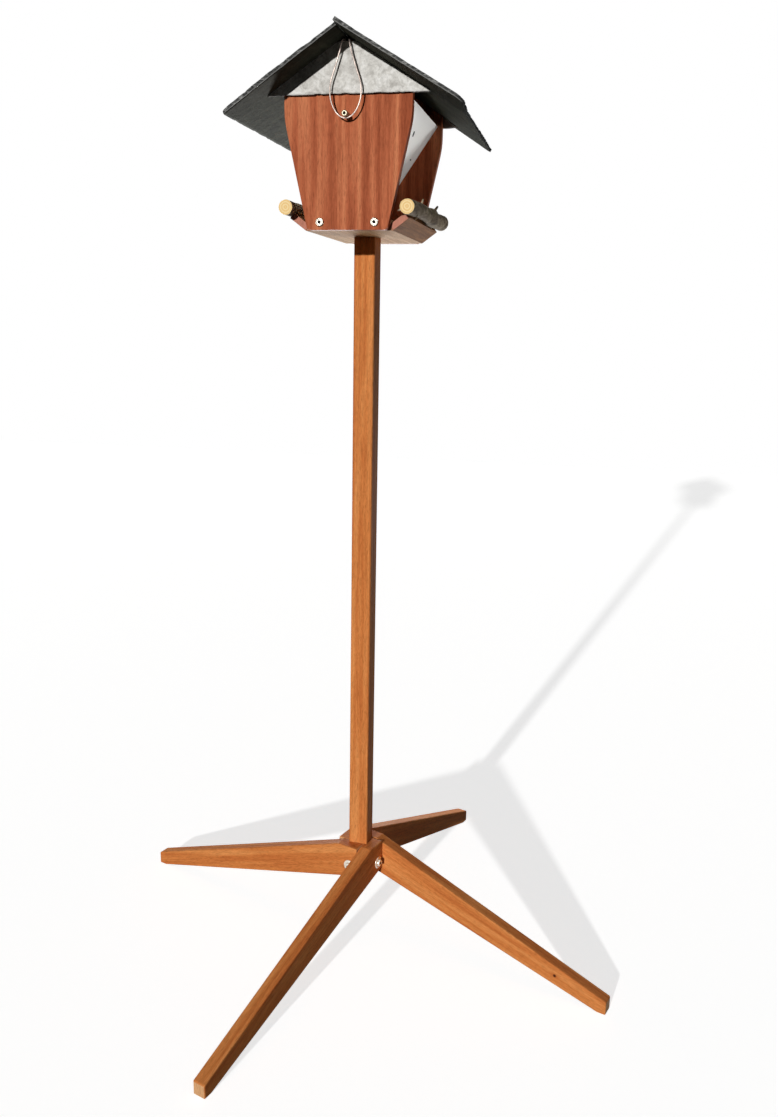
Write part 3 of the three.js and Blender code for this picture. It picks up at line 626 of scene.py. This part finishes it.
def paint_socket_shade(piece, outline):
    """Paints shade on the last three bands, which line the socket, and on its floor, which is the last face.
    """
    bands = 2 * len(outline) - 1
    paint_shade(piece, bands - 3, bands)
    piece.data.polygons[-1].material_index = 1


def screw(node, size, foot, axis):
    shank, length, head, height, socket, depth = size
    outline = [
        (shank / 2, -length, False), (shank, shank - length, False), (shank, 0, False), (head, 0, False),
        *((head * out, height * up, False) for out, up in HEAD_SHARES),
        (socket * MOUTH_SHARE, height, True), (socket, height - MOUTH_FALL_SHARE * depth, True),
        (socket, height - depth, True),
    ]
    piece = turned(node, outline, foot, axis)
    piece.data.materials.append(STEEL_LOOK)
    paint_socket_shade(piece, outline)


def flat_ring(node, size, foot, axis):
    inner, outer, top, height = size
    outline = [(inner, 0, False), (outer, 0, False), (top, height, False), (inner, height, False)]
    piece = turned(node, outline, foot, axis, True)
    piece.data.materials.append(STEEL_LOOK)
    return piece


# Each screw in millimetres: shank radius, length, head radius and height, socket corner radius and depth
FOOT_SCREW = (2.5, 34, 4.2, 2.6, 2.5, 2.2)
LEG_SCREW = (2.5, 31.3, 6, 4, 2.3, 2)
ROOF_SCREW = (2, 21.2, 4, 2.4, 1.6, 1.2)
HEAD_SHARES = ((1, 0.5), (0.93, 0.8), (0.78, 1))  # a head's rounded side, in shares of its radius and height
MOUTH_SHARE = 1.12  # the socket's mouth flares to this share of its radius
MOUTH_FALL_SHARE = 0.15
# Each ring or washer in millimetres: inner radius, outer radius at its foot, at its top, height
FOOT_RING = (4.5, 6, 5.1, 2)
LEG_WASHER = (2.8, 10, 10, 1.5)
ROOF_WASHER = (2.3, 7, 7, 1.2)
SHADED_RIM_BANDS = (3, 5)  # the bands of a ring's outer rim that get painted shade, a dark line round the ring, from the first up to the last
# The stud's outline in millimetres: radius, way out from the board and whether it is six-sided there
STUD_OUTLINE = [
    (2, -8, False), (2, 0, False), (4, 0, False), (4, 9, False), (3.6, 9.4, False), (3.6, 11.6, False),
    (4, 12, False), (4, 16.3, False), (3.2, 17, False), (2.2, 17, True), (2, 16.7, True), (2, 14, True),
]
FOOT_SCREW_OUT = 38.3 * MM
FOOT_SCREW_HEIGHT = 10 * MM
LEG_SCREW_HEIGHT = 138 * MM
LEG_SCREW_OUT = 35.3 * MM  # of a leg's outer face from the pole's axis
ROOF_SCREW_OUT = 42 * MM
ROOF_SCREW_BACK = 100.5 * MM
ROOF_WASHER_SEAT = 6.15 * MM
ROOF_SCREW_GAP = 0.15 * MM
ROOF_PITCH = math.radians(32)
RIDGE = HEAD_BASE + 240.5 * MM
BOARD_FACE = 120 * MM  # of the boards' outer faces
STUD_HEIGHT = HEAD_BASE + 144 * MM


def make_foot_screws():
    for end, out in (("front", -1), ("back", 1)):
        axis = Vector((0, out, 0))
        for side, x in (("left", -FOOT_SCREW_OUT), ("right", FOOT_SCREW_OUT)):
            foot = Vector((x, out * BOARD_FACE, HEAD_BASE + FOOT_SCREW_HEIGHT))
            screw(f"foot_screw_{end}_{side}", FOOT_SCREW, foot, axis)
            # painted shade: a dark line round each foot ring's rim
            paint_shade(flat_ring(f"foot_ring_{end}_{side}", FOOT_RING, foot, axis), *SHADED_RIM_BANDS)


def make_leg_screws():
    for quarter, side in enumerate(LEG_SIDES):
        axis = Matrix.Rotation(LEGS_TURN + quarter * math.pi / 2, 3, "Z") @ Vector((0, 1, 0))
        foot = axis * LEG_SCREW_OUT + Vector((0, 0, LEG_SCREW_HEIGHT))
        flat_ring(f"leg_washer_{side}", LEG_WASHER, foot, axis)
        screw(f"leg_screw_{side}", LEG_SCREW, foot + axis * (LEG_WASHER[3] * MM), axis)


def make_roof_screws():
    for end, y in (("front", -ROOF_SCREW_BACK), ("back", ROOF_SCREW_BACK)):
        for name, side in (("left", -1), ("right", 1)):
            axis = Vector((side * math.sin(ROOF_PITCH), 0, math.cos(ROOF_PITCH)))
            place = Vector((side * ROOF_SCREW_OUT, y, RIDGE - ROOF_SCREW_OUT * math.tan(ROOF_PITCH)))
            foot = place + axis * ROOF_WASHER_SEAT
            flat_ring(f"roof_washer_{end}_{name}", ROOF_WASHER, foot, axis)
            seat = foot + axis * (ROOF_WASHER[3] * MM + ROOF_SCREW_GAP)
            screw(f"roof_screw_{end}_{name}", ROOF_SCREW, seat, axis)


def make_stud():
    stud = turned("wire_stud", STUD_OUTLINE, Vector((0, -BOARD_FACE, STUD_HEIGHT)), Vector((0, -1, 0)))
    stud.data.materials.append(metal("stud_steel", *BRASSY, 0.4))
    paint_socket_shade(stud, STUD_OUTLINE)
    stud.data.polygons[-2].material_index = 1  # the shank's end, inside the board


def dress_metal():
    for name in nodes:
        if name.startswith(("pole_screw", "pole_washer", "tie_screw")) or name == "wire_ferrule":
            clothe(name, STEEL_LOOK)
    make_foot_screws()
    make_leg_screws()
    make_roof_screws()
    make_stud()


STEEL_LOOK = metal("stainless", *STEEL, 0.3)
# painted shade for the insides of the sockets and the rims of the foot rings
PAINTED_SHADE_LOOK = metal("socket", *SOCKET_PAINTED_SHADE, 0.6)


# Panes
PANE_TILT = math.radians(35)
PANE_TOP = Vector((81 * MM, 0, HEAD_BASE + 170 * MM))  # a point of the right pane's outer face
PANE_SHADE = (0.9, 0.89, 0.85, 1)
PANE_DUST_SIZE = (30 * MM, 50 * MM, 30 * MM)
MARK_SIDES = 28
MARK_THICK = 0.25 * MM
MARK_TOP_SHARE = 0.8  # a mark's size at its top
FLECK_SIZE = 1 * MM
PANE_MARKS = (  # way along the pane, way down it, half length, half width and turn of each mark
    ("slot", 15.2 * MM, 32.2 * MM, 6 * MM, 2.5 * MM, math.radians(-35.5)),
    ("nick", 80.8 * MM, 62.1 * MM, 4.2 * MM, 1.15 * MM, 0),
)


def make_pane_marks():
    """Two dark flecks on the right pane's outer face."""
    look = Look("pane_mark", roughness=0.8)
    # the flecks' dark tone, mottled at random
    fleck = look.clouds(look.places(size=FLECK_SIZE), 3.0)
    look.surface(base_color=look.tones(fleck, [(0.3, tone(22, 20, 19)), (0.7, tone(52, 49, 46))]))
    down = Vector((-math.sin(PANE_TILT), 0, -math.cos(PANE_TILT)))
    out = Vector((math.cos(PANE_TILT), 0, -math.sin(PANE_TILT)))
    back = Vector((0, 1, 0))
    for name, along, below, long, wide, turn in PANE_MARKS:
        middle = PANE_TOP + back * along + down * below
        first = back * math.cos(turn) - down * math.sin(turn)
        second = back * math.sin(turn) + down * math.cos(turn)
        rings = []
        angles = [2 * math.pi * i / MARK_SIDES for i in range(MARK_SIDES)]
        for height, share in ((-MARK_THICK, 1), (0.5 * MARK_THICK, 1), (MARK_THICK, MARK_TOP_SHARE)):
            rings.append([
                middle + out * height + (first * math.cos(a) * long + second * math.sin(a) * wide) * share
                for a in angles
            ])
        mark = link_mesh(f"pane_{name}", [p for ring in rings for p in ring], skin(rings))
        mark.data.flip_normals()
        mark.data.materials.append(look.material)
        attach(mark, "root")


def dress_panes():
    look = Look("milky_pane", base_color=PANE_SHADE, transmission_weight=0.05, ior=1.5)
    dust = look.clouds(look.places(size=PANE_DUST_SIZE), 5.0)
    look.surface(roughness=look.levels(dust, 0.35, 0.7, 0.45, 0.6))
    for side in ("left", "right"):
        clothe(f"hopper_pane_{side}", look.material, PANE_BEVEL)
    make_pane_marks()


# Slates: closed plates with riven faces and broken edges
PLATE_LAYERS = 4
SLATE_THICK = 6 * MM
SLATE_FRONT = -172 * MM
SLATE_BACK = 165 * MM
EAVE_OUT = 155 * MM
LEFT_START = 2.2 * MM  # of the left slate, from the ridge line down its slope
RIGHT_START = -8.2 * MM
GRID = 3.2 * MM
NOISE_STEPS = (7.3, 3.1, 5.7)  # how far each seed moves the noise along each axis
RIVEN_STEPS = 2.4  # of the face, from the noise's middle to its ends
STEPS_IN_DEPTH = 4
STEP_SHARPNESS = 4
BITE_SIZE = 14 * MM
SMALL_BITE_SIZE = 4 * MM
FLAKE_SIZE = 5 * MM
FLAKE_SHIFT = 40 * MM  # of the flakes' pattern, from one face of the slate to the other


def rough(place, size, seed):
    """Smooth noise from -1 to 1 at a place, with features of a size."""
    return noise.noise(Vector(place) / size + Vector([seed * step for step in NOISE_STEPS]))


def ridged(place, size, seed):
    """Up to 1, in steps as a riven face has them."""
    level = RIVEN_STEPS * (rough(place, size, seed) + 0.4 * rough(place, size / 3, seed + 1))
    step = math.floor(level)
    blend = level - step
    return (step + min(1.0, blend * STEP_SHARPNESS)) / STEPS_IN_DEPTH


def riven(place, thick, steps, grain, seed, share=1):
    """A slate's thickness at a place. steps and grain are each the depth and width of one kind of relief."""
    fallen = steps[0] * (1 - ridged(place, steps[1], seed)) * share
    return thick - fallen - grain[0] * abs(rough(place, grain[1], seed + 5))


def plate(name, across, along, place):
    """A closed plate from place(u, v, w), with u, v and w from 0 to 1 across, along and through it."""
    points = []
    index = {}

    def point(i, j, k):
        key = (i, j, k)
        if key not in index:
            index[key] = len(points)
            points.append(place(i / across, j / along, k / PLATE_LAYERS))
        return index[key]

    faces = []
    for i in range(across):
        for j in range(along):
            low = [point(a, b, 0) for a, b in ((i, j), (i, j + 1), (i + 1, j + 1), (i + 1, j))]
            high = [point(a, b, PLATE_LAYERS) for a, b in ((i, j), (i + 1, j), (i + 1, j + 1), (i, j + 1))]
            faces += [low, high]
    rim = [(i, 0) for i in range(across)] + [(across, j) for j in range(along)]
    rim += [(i, along) for i in range(across, 0, -1)] + [(0, j) for j in range(along, 0, -1)]
    rim_faces = []
    for (a, b), (c, d) in zip(rim, rim[1:] + rim[:1]):
        for k in range(PLATE_LAYERS):
            rim_faces.append([point(a, b, k), point(c, d, k), point(c, d, k + 1), point(a, b, k + 1)])
    piece = link_mesh(name, points, faces + rim_faces)
    piece.data.attributes.new("through", "FLOAT", "POINT")
    shares = piece.data.attributes["through"].data
    for (_, _, k), at in index.items():
        shares[at].value = k / PLATE_LAYERS
    for polygon in piece.data.polygons[len(faces):]:
        polygon.material_index = 1
    return piece


def chip(share, place, seed, deep):
    """How far an edge is broken back at a place, more towards the face where share is 1."""
    bites = max(0.0, rough(place, BITE_SIZE, seed)) + 0.5 * abs(rough(place, SMALL_BITE_SIZE, seed + 2))
    flakes = rough(Vector(place) + Vector((0, 0, FLAKE_SHIFT * share)), FLAKE_SIZE, seed + 4)
    layer = 0.35 + 0.65 * share + 0.5 * flakes
    return deep * min(1.0, bites * 1.2) * min(1.0, max(0.0, layer))


EDGE_CHIP = 3 * MM
TOP_CHIP = 1 * MM
FRONT_CORNER_SHARE = 0.8  # of how far the corner at the eave is rounded
BACK_CORNER_SHARE = 0.5
ROOF_STEPS = (1.6 * MM, 60 * MM)  # depth and width of the riven steps
ROOF_GRAIN = (0.4 * MM, 9 * MM)
UNDER_RELIEF = (0.3 * MM, 30 * MM)
UNDER_FLAT = 70 * MM  # the lower face is flat this far down the slope


def roof_slate(name, side, start, reach, seed, lift, corner):
    """side is -1 for the left slate. lift gives how far the slate is off its plane at a place."""
    end = EAVE_OUT / math.cos(ROOF_PITCH) + reach
    down = Vector((side * math.cos(ROOF_PITCH), 0, -math.sin(ROOF_PITCH)))
    out = Vector((side * math.sin(ROOF_PITCH), 0, math.cos(ROOF_PITCH)))

    def place(u, v, w):
        s = start + (end - start) * u
        y = SLATE_FRONT + (SLATE_BACK - SLATE_FRONT) * v
        broken = max(0.0, 1 - (end - s) / corner)
        front = chip(w, (s, 0, 0), seed, EDGE_CHIP) + corner * FRONT_CORNER_SHARE * broken ** 2
        back = chip(w, (s, 1, 0), seed, EDGE_CHIP) + corner * BACK_CORNER_SHARE * broken ** 2
        top = chip(w, (0, y, 2), seed, TOP_CHIP)
        eave = chip(w, (1, y, 3), seed, EDGE_CHIP)
        s = start + top + (end - start - top - eave) * u
        y = SLATE_FRONT + front + (SLATE_BACK - SLATE_FRONT - front - back) * v
        face = (s, y, side)
        upper = riven(face, SLATE_THICK, ROOF_STEPS, ROOF_GRAIN, seed, w)
        depth, size = UNDER_RELIEF
        lower = depth * rough(face, size, seed + 6) * min(1.0, max(0.0, s / UNDER_FLAT - 1))
        height = lower + (upper - lower) * w + lift(s, y)
        return Vector((0, y, RIDGE)) + down * s + out * height

    slate = plate(name, round((end - start) / GRID), round((SLATE_BACK - SLATE_FRONT) / GRID), place)
    if side < 0:
        slate.data.flip_normals()
    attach(slate, "roof")
    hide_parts(f"roof_slate_{'left' if side < 0 else 'right'}")
    return slate


SLOPE_LENGTH = 180 * MM  # down a roof slate, as its bends measure it
FRONT_LIFT = 5.5 * MM  # the right slate curls up towards the front
LIFT_FROM = -118 * MM
BACK_FALL = 2 * MM


def curl(s, y):
    front = min(1.0, max(0.0, (LIFT_FROM - y) / (LIFT_FROM - SLATE_FRONT)))
    back = max(0.0, y - LIFT_FROM) / (SLATE_BACK - LIFT_FROM)
    outer = min(1.0, max(0.0, s / SLOPE_LENGTH))
    return FRONT_LIFT * front * (0.1 + 0.9 * outer) - BACK_FALL * back * outer ** 2


LEFT_FALL = 3.5 * MM  # the left slate hangs a little towards its eave


def droop(s, y):
    return -LEFT_FALL * max(0.0, s / SLOPE_LENGTH) ** 1.5


GABLE_FOOT = RIDGE - 71 * MM
GABLE_TOP = RIDGE - 8 * MM
GABLE_BLUNT = 1.5 * MM
GABLE_THICK = 6 * MM
GABLE_GAP = 0.3 * MM
GABLE_CHIP = 3.6 * MM
GABLE_STEPS = (0.9 * MM, 34 * MM)
GABLE_GRAIN = (0.25 * MM, 6 * MM)
GABLE_GRID = (88, 30)  # faces across and up


def gable_slate(name, side, seed):
    """side is -1 for the front one, whose outer face is towards -Y."""
    slope = math.tan(ROOF_PITCH)
    gap = GABLE_GAP / math.cos(ROOF_PITCH)

    def half(z):
        return (RIDGE - gap - max(z, GABLE_FOOT + GABLE_BLUNT)) / slope

    def place(u, v, w):
        z = GABLE_FOOT + (GABLE_TOP - GABLE_FOOT) * v
        x = (2 * u - 1) * half(z)
        low = chip(1 - w, (x, 0, side), seed, GABLE_CHIP) * (1 - v)
        outer = riven((x, side, z), GABLE_THICK, GABLE_STEPS, GABLE_GRAIN, seed)
        return Vector((x, side * (BOARD_FACE + outer * w), z + low))

    piece = plate(name, *GABLE_GRID, place)
    if side > 0:
        piece.data.flip_normals()
    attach(piece, "root")
    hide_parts(f"gable_slate_{'front' if side < 0 else 'back'}")
    return piece


SLATE_GRIT_SIZE = 1.2 * MM
SLATE_SPECKLE_SIZE = 4 * MM
SLATE_FLAKE_SIZE = 9 * MM
SLATE_RELIEF = 1.2 * MM
EDGE_FLAKE_SIZE = (6 * MM, 6 * MM, 2.2 * MM)
EDGE_RELIEF = 0.8 * MM


def slate_face(name, shades, under, patch, seed, roughness):
    """under is the share of the colour that the inner face keeps: painted shade, so the inner face renders
    darker than the outer.
    """
    look = Look(name, roughness=roughness, specular_ior_level=0.02)
    mottle = look.clouds(look.places(size=patch, middle=(seed, 0, 0)), 8.0, 0.68, 0.6)
    colour = look.tones(mottle, [(0.35, shades[0]), (0.52, shades[1]), (0.68, shades[2])])
    grit = look.clouds(look.places(size=SLATE_GRIT_SIZE, middle=(seed, 0, 0)), 2.0)
    colour = look.mix(look.levels(grit, 0.62, 0.74, 0, 0.5), colour, shades[2])
    fine = look.clouds(look.places(size=SLATE_SPECKLE_SIZE, middle=(seed, 2, 0)), 6.0, 0.7)
    speckled = look.tones(fine, [(0.34, grey(0.86)), (0.5, WHITE), (0.66, grey(1.12))])
    colour = look.mix(1.0, colour, speckled, "MULTIPLY")
    # painted shade: the inner face is darkened by the under share
    depth = look.tones(look.through(), [(0, grey(under)), (1, WHITE)])
    look.surface(base_color=look.mix(1.0, colour, depth, "MULTIPLY"))
    flakes = look.clouds(look.places(size=SLATE_FLAKE_SIZE, middle=(seed, 1, 0)), 8.0, 0.65)
    look.bump(flakes, SLATE_RELIEF, 0.8)
    return look.material


def slate_edge(name, shades, seed):
    """Broken edge: dark flakes with a lighter line along the inner face's border."""
    look = Look(name, roughness=0.8, specular_ior_level=0.08)
    flakes = look.clouds(look.places(size=EDGE_FLAKE_SIZE, middle=(seed, 0, 0)), 5.0, 0.6)
    colour = look.tones(flakes, [(0.38, shades[0]), (0.55, shades[1]), (0.66, shades[2])])
    line = look.levels(look.through(), 0.1, 0.3, 0.7, 0)
    look.surface(base_color=look.mix(line, colour, shades[2]))
    look.bump(flakes, EDGE_RELIEF, 0.8)
    return look.material


ROOF_SHADES = (tone(100, 103, 91), tone(128, 133, 116), tone(154, 158, 138))
ROOF_EDGE = (tone(44, 45, 44), tone(86, 86, 84), tone(150, 149, 146))
GABLE_SHADES = (tone(182, 178, 171), tone(216, 213, 206), tone(238, 236, 231))
# partly painted shade: the gable slates' broken edges, which face down or sit under the roof, are made far
# darker than their face
GABLE_EDGE_WITH_SHADE = (tone(46, 44, 42), tone(96, 93, 89), tone(190, 186, 180))
ROOF_PATCH = 30 * MM
GABLE_PATCH = 13 * MM
LEFT_REACH = 2 * MM  # past EAVE_OUT, down the slope
RIGHT_REACH = 3.4 * MM
LEFT_CORNER = 3 * MM
RIGHT_CORNER = 12 * MM


def make_slates():
    """Makes the four slates and returns the two of the roof, the left one first."""
    # 0.24 and 0.6 are the painted shade on the roof and gable slates' inner faces
    roof_face = slate_face("roof_slate_face", ROOF_SHADES, 0.24, ROOF_PATCH, 1, 0.75)
    roof_edge = slate_edge("roof_slate_edge", ROOF_EDGE, 2)
    gable_face = slate_face("gable_slate_face", GABLE_SHADES, 0.6, GABLE_PATCH, 3, 0.6)
    gable_edge = slate_edge("gable_slate_edge", GABLE_EDGE_WITH_SHADE, 4)
    roof = [
        roof_slate("roof_slate_left_riven", -1, LEFT_START, LEFT_REACH, 2, droop, LEFT_CORNER),
        roof_slate("roof_slate_right_riven", 1, RIGHT_START, RIGHT_REACH, 5, curl, RIGHT_CORNER),
    ]
    gables = [gable_slate("gable_slate_front_riven", -1, 8), gable_slate("gable_slate_back_riven", 1, 11)]
    for pieces, face, edge in ((roof, roof_face, roof_edge), (gables, gable_face, gable_edge)):
        for piece in pieces:
            piece.data.materials.append(face)
            piece.data.materials.append(edge)
    return roof


# Perches: branches with bark, twig stubs and sawn ends
PERCH_OUT = 84.5 * MM
PERCH_HEIGHT = 29 * MM
PERCH_RADIUS = 9.8 * MM
PERCH_THICKER = 1.7 * MM
PERCH_DRIFT = 4 * MM
PERCH_RISE = 2.5 * MM
PERCH_SWAY = 2 * MM
PERCH_FRONT = -128 * MM
PERCH_BACK = 122 * MM
PERCH_RINGS = 150
PERCH_SIDES = 56
SWAY_OUT = 3  # radians over the branch's length
SWAY_UP = 5
TWIG_SIDES = 10
NEARLY_BACK = Vector((0, 1, 0.01))
TWIG_ROOT_SHARE = 0.6  # of the branch's radius, where a twig starts inside it
TWIG_TAPERS = (1.4, 1.1, 0.6)  # at its root, at the bark and at its tip
KNOT_LENGTH_SHARE = 0.035  # of the branch's length
SWELLS = ((0.07, 11, 2), (0.04, 23, 1))  # height, radians over the branch's length and phases
BARK_LOOP = (250 * MM, 10 * MM)  # how far the bark's pattern runs along the branch and out from its middle
BARK_RELIEF = 0.5 * MM
BARK_PATCH = 9 * MM
BARK_GRAIN = 0.25 * MM
BARK_GRAIN_SIZE = 2.5 * MM
PANEL_FOOT = 61.5 * MM
PANEL_TILT = math.radians(36)
PANEL_WIDTH = 28.5 * MM
PANEL_THICK = 9 * MM
INNER_HALF = 108 * MM
SEAT_GAP = 0.3 * MM


def off_panel(point):
    """Moves a point of the branch that lies in the trough panel out to the panel's nearest face."""
    if abs(point.y) > INNER_HALF + SEAT_GAP:
        return point
    away = Vector((point.x - PANEL_FOOT, 0, point.z - HEAD_BASE))
    up_slope = Vector((math.cos(PANEL_TILT), 0, math.sin(PANEL_TILT)))
    through = Vector((-math.sin(PANEL_TILT), 0, math.cos(PANEL_TILT)))
    a, t = away.dot(up_slope), away.dot(through)
    past_end = PANEL_WIDTH + SEAT_GAP - a
    under = t + SEAT_GAP
    above = PANEL_THICK + SEAT_GAP - t
    if min(past_end, under, above) <= 0:
        return point
    nearest = min(past_end, under, above)
    if nearest == past_end:
        return point + up_slope * past_end
    return point - through * under if nearest == under else point + through * above


def branch_line(share, phase):
    sway = PERCH_SWAY * math.sin(math.pi * share)
    return Vector((
        PERCH_OUT + PERCH_DRIFT * share + sway * math.sin(SWAY_OUT * share + phase),
        PERCH_FRONT + (PERCH_BACK - PERCH_FRONT) * share,
        HEAD_BASE + PERCH_HEIGHT + PERCH_RISE * share + sway * math.sin(SWAY_UP * share + phase),
    ))


def branch_radius(share, angle, phase, knots):
    """knots gives each one's place along the branch and round it, and its height in radii."""
    bare = PERCH_RADIUS + PERCH_THICKER * share
    sway = math.sin(math.pi * share)
    swell = sum(high * math.sin(turn * share + phases * phase) for high, turn, phases in SWELLS)
    for at, round_at, size in knots:
        far = ((share - at) / KNOT_LENGTH_SHARE) ** 2
        swell += size * math.exp(-far) * max(0.0, math.cos(angle - round_at))
    long, wide = BARK_LOOP
    place = (share * long, math.cos(angle) * wide, math.sin(angle) * wide)
    bark = BARK_RELIEF * rough(place, BARK_PATCH, phase)
    bark += BARK_GRAIN * rough(place, BARK_GRAIN_SIZE, phase + 3)
    return bare * (1 + sway * swell) + bark


def make_branch(side, phase, knots, twigs):
    """twigs gives each one's place along and round the branch, its lean, radius and length past the bark."""
    rings = []
    for i in range(PERCH_RINGS + 1):
        share = i / PERCH_RINGS
        middle = branch_line(share, phase)
        ring = []
        for j in range(PERCH_SIDES):
            angle = 2 * math.pi * j / PERCH_SIDES
            radius = branch_radius(share, angle, phase, knots)
            point = off_panel(middle + Vector((math.cos(angle), 0, math.sin(angle))) * radius)
            ring.append(Vector((side * point.x, point.y, point.z)))
        rings.append(ring)
    points = [p for ring in rings for p in ring]
    faces = skin(rings)
    for share, angle, lean, thick, long in twigs:
        middle = branch_line(share, phase)
        out = Vector((math.cos(angle), lean, math.sin(angle))).normalized()
        reaches = (TWIG_ROOT_SHARE * PERCH_RADIUS, PERCH_RADIUS, PERCH_RADIUS + long)
        stub = [
            [middle + out * far + ring_point(out, step) * thick * taper for step in range(TWIG_SIDES)]
            for far, taper in zip(reaches, TWIG_TAPERS)
        ]
        stub = [[Vector((side * p.x, p.y, p.z)) for p in ring] for ring in stub]
        base = len(points)
        points += [p for ring in stub for p in ring]
        faces += [tuple(base + v for v in face) for face in skin(stub)]
    name = "left" if side < 0 else "right"
    piece = link_mesh(f"perch_{name}_bark", points, faces)
    if side > 0:
        piece.data.flip_normals()
    for end in (PERCH_RINGS * PERCH_SIDES, PERCH_RINGS * PERCH_SIDES + 1):
        cap = piece.data.polygons[end]
        cap.material_index = 1
        cap.use_smooth = False
    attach(piece, "root")
    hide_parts(f"perch_{name}")
    return piece


def ring_point(out, step):
    """A point of a unit circle across a twig."""
    side = out.cross(NEARLY_BACK).normalized()
    up = out.cross(side)
    angle = 2 * math.pi * step / TWIG_SIDES
    return side * math.cos(angle) + up * math.sin(angle)


BARK_TONES = [(0.34, tone(96, 82, 64)), (0.5, tone(146, 130, 108)), (0.64, tone(192, 174, 148))]
BARK_MOTTLE_SIZE = (12 * MM, 30 * MM, 12 * MM)
MOSS_SHADE = tone(120, 112, 72)
MOSS_SIZE = 20 * MM
PIT_SHADE = tone(62, 50, 42)
PIT_SIZE = (1.5 * MM, 3 * MM, 1.5 * MM)
PIT_DEPTH = 0.6 * MM
SAWN_TONES = [(0.2, tone(246, 218, 160)), (0.8, tone(236, 196, 126))]
SAWN_RING = 11 * MM
SAWN_GRIT_SHADE = tone(196, 148, 88)
SAWN_GRIT_SIZE = 1 * MM


def bark_look():
    look = Look("bark", roughness=0.85, specular_ior_level=0.08)
    colour = look.tones(look.clouds(look.places(size=BARK_MOTTLE_SIZE), 5.0, 0.6, 0.6), BARK_TONES)
    moss = look.clouds(look.places(size=MOSS_SIZE, middle=(3, 0, 0)), 3.0)
    colour = look.mix(look.levels(moss, 0.52, 0.68, 0, 0.5), colour, MOSS_SHADE)
    pits = look.clouds(look.places(size=PIT_SIZE), 3.0)
    colour = look.mix(look.levels(pits, 0.6, 0.75, 0, 0.6), colour, PIT_SHADE)
    look.surface(base_color=colour)
    look.bump(pits, PIT_DEPTH, 0.7)
    return look.material


def sawn_look(side):
    look = Look(f"sawn_end_{'left' if side < 0 else 'right'}", roughness=0.7)
    middle = (side * PERCH_OUT, 0, HEAD_BASE + PERCH_HEIGHT)
    wave = look.rings(look.places(size=(SAWN_RING, 1, SAWN_RING), middle=middle), 1.6)
    grit = look.clouds(look.places(size=SAWN_GRIT_SIZE), 3.0)
    colour = look.mix(look.levels(grit, 0.55, 0.72, 0, 0.4), look.tones(wave, SAWN_TONES), SAWN_GRIT_SHADE)
    look.surface(base_color=colour)
    return look.material


RIGHT_KNOTS = ((0.86, 0.3, 0.1), (0.6, 1.0, 0.14))
RIGHT_TWIGS = (
    (0.30, 1.25, -0.1, 1.5 * MM, 6.5 * MM),
    (0.60, 1.0, 0.3, 2.4 * MM, 10 * MM),
    (0.025, 3.5, -0.1, 1.5 * MM, 5 * MM),
    (0.16, -1.15, 0.0, 1.8 * MM, 1.5 * MM),
)
LEFT_KNOTS = ((0.4, 1.0, 0.12), (0.75, 0.2, 0.1))
LEFT_TWIGS = ((0.45, 0.6, 0.2, 1.4 * MM, 5 * MM), (0.7, 1.8, -0.2, 1.2 * MM, 3 * MM))


def make_perches():
    bark = bark_look()
    for side, phase, knots, twigs in ((1, 0.4, RIGHT_KNOTS, RIGHT_TWIGS), (-1, 2.1, LEFT_KNOTS, LEFT_TWIGS)):
        piece = make_branch(side, phase, knots, twigs)
        piece.data.materials.append(bark)
        piece.data.materials.append(sawn_look(side))


make_camera()
wire = make_wire()
wire.data.materials.append(metal("wire_steel", *WIRE_STEEL, 0.5, WIRE_GRAIN))
make_sun()
make_world()
floor = make_floor()
dress_stand()
dress_feeder()
dress_metal()
dress_panes()
roof_slates = make_slates()
make_perches()
stand = [nodes[name] for name in STAND_WOOD]
panes = [nodes["hopper_pane_left"], nodes["hopper_pane_right"]]
make_lamps({
    "above": ([floor], "EXCLUDE"),
    "back_left": ([floor, *roof_slates], "EXCLUDE"),
    "back_right": ([floor, *stand, *roof_slates], "EXCLUDE"),
    "stand_right": (stand, "INCLUDE"),
    "slate_left": (roof_slates[:1], "INCLUDE"),
    "slate_right": (roof_slates[1:], "INCLUDE"),
    "pane_left": (panes, "INCLUDE"),
    "pane_right": (panes, "INCLUDE"),
})

bpy.context.scene.view_settings.view_transform = "Standard"
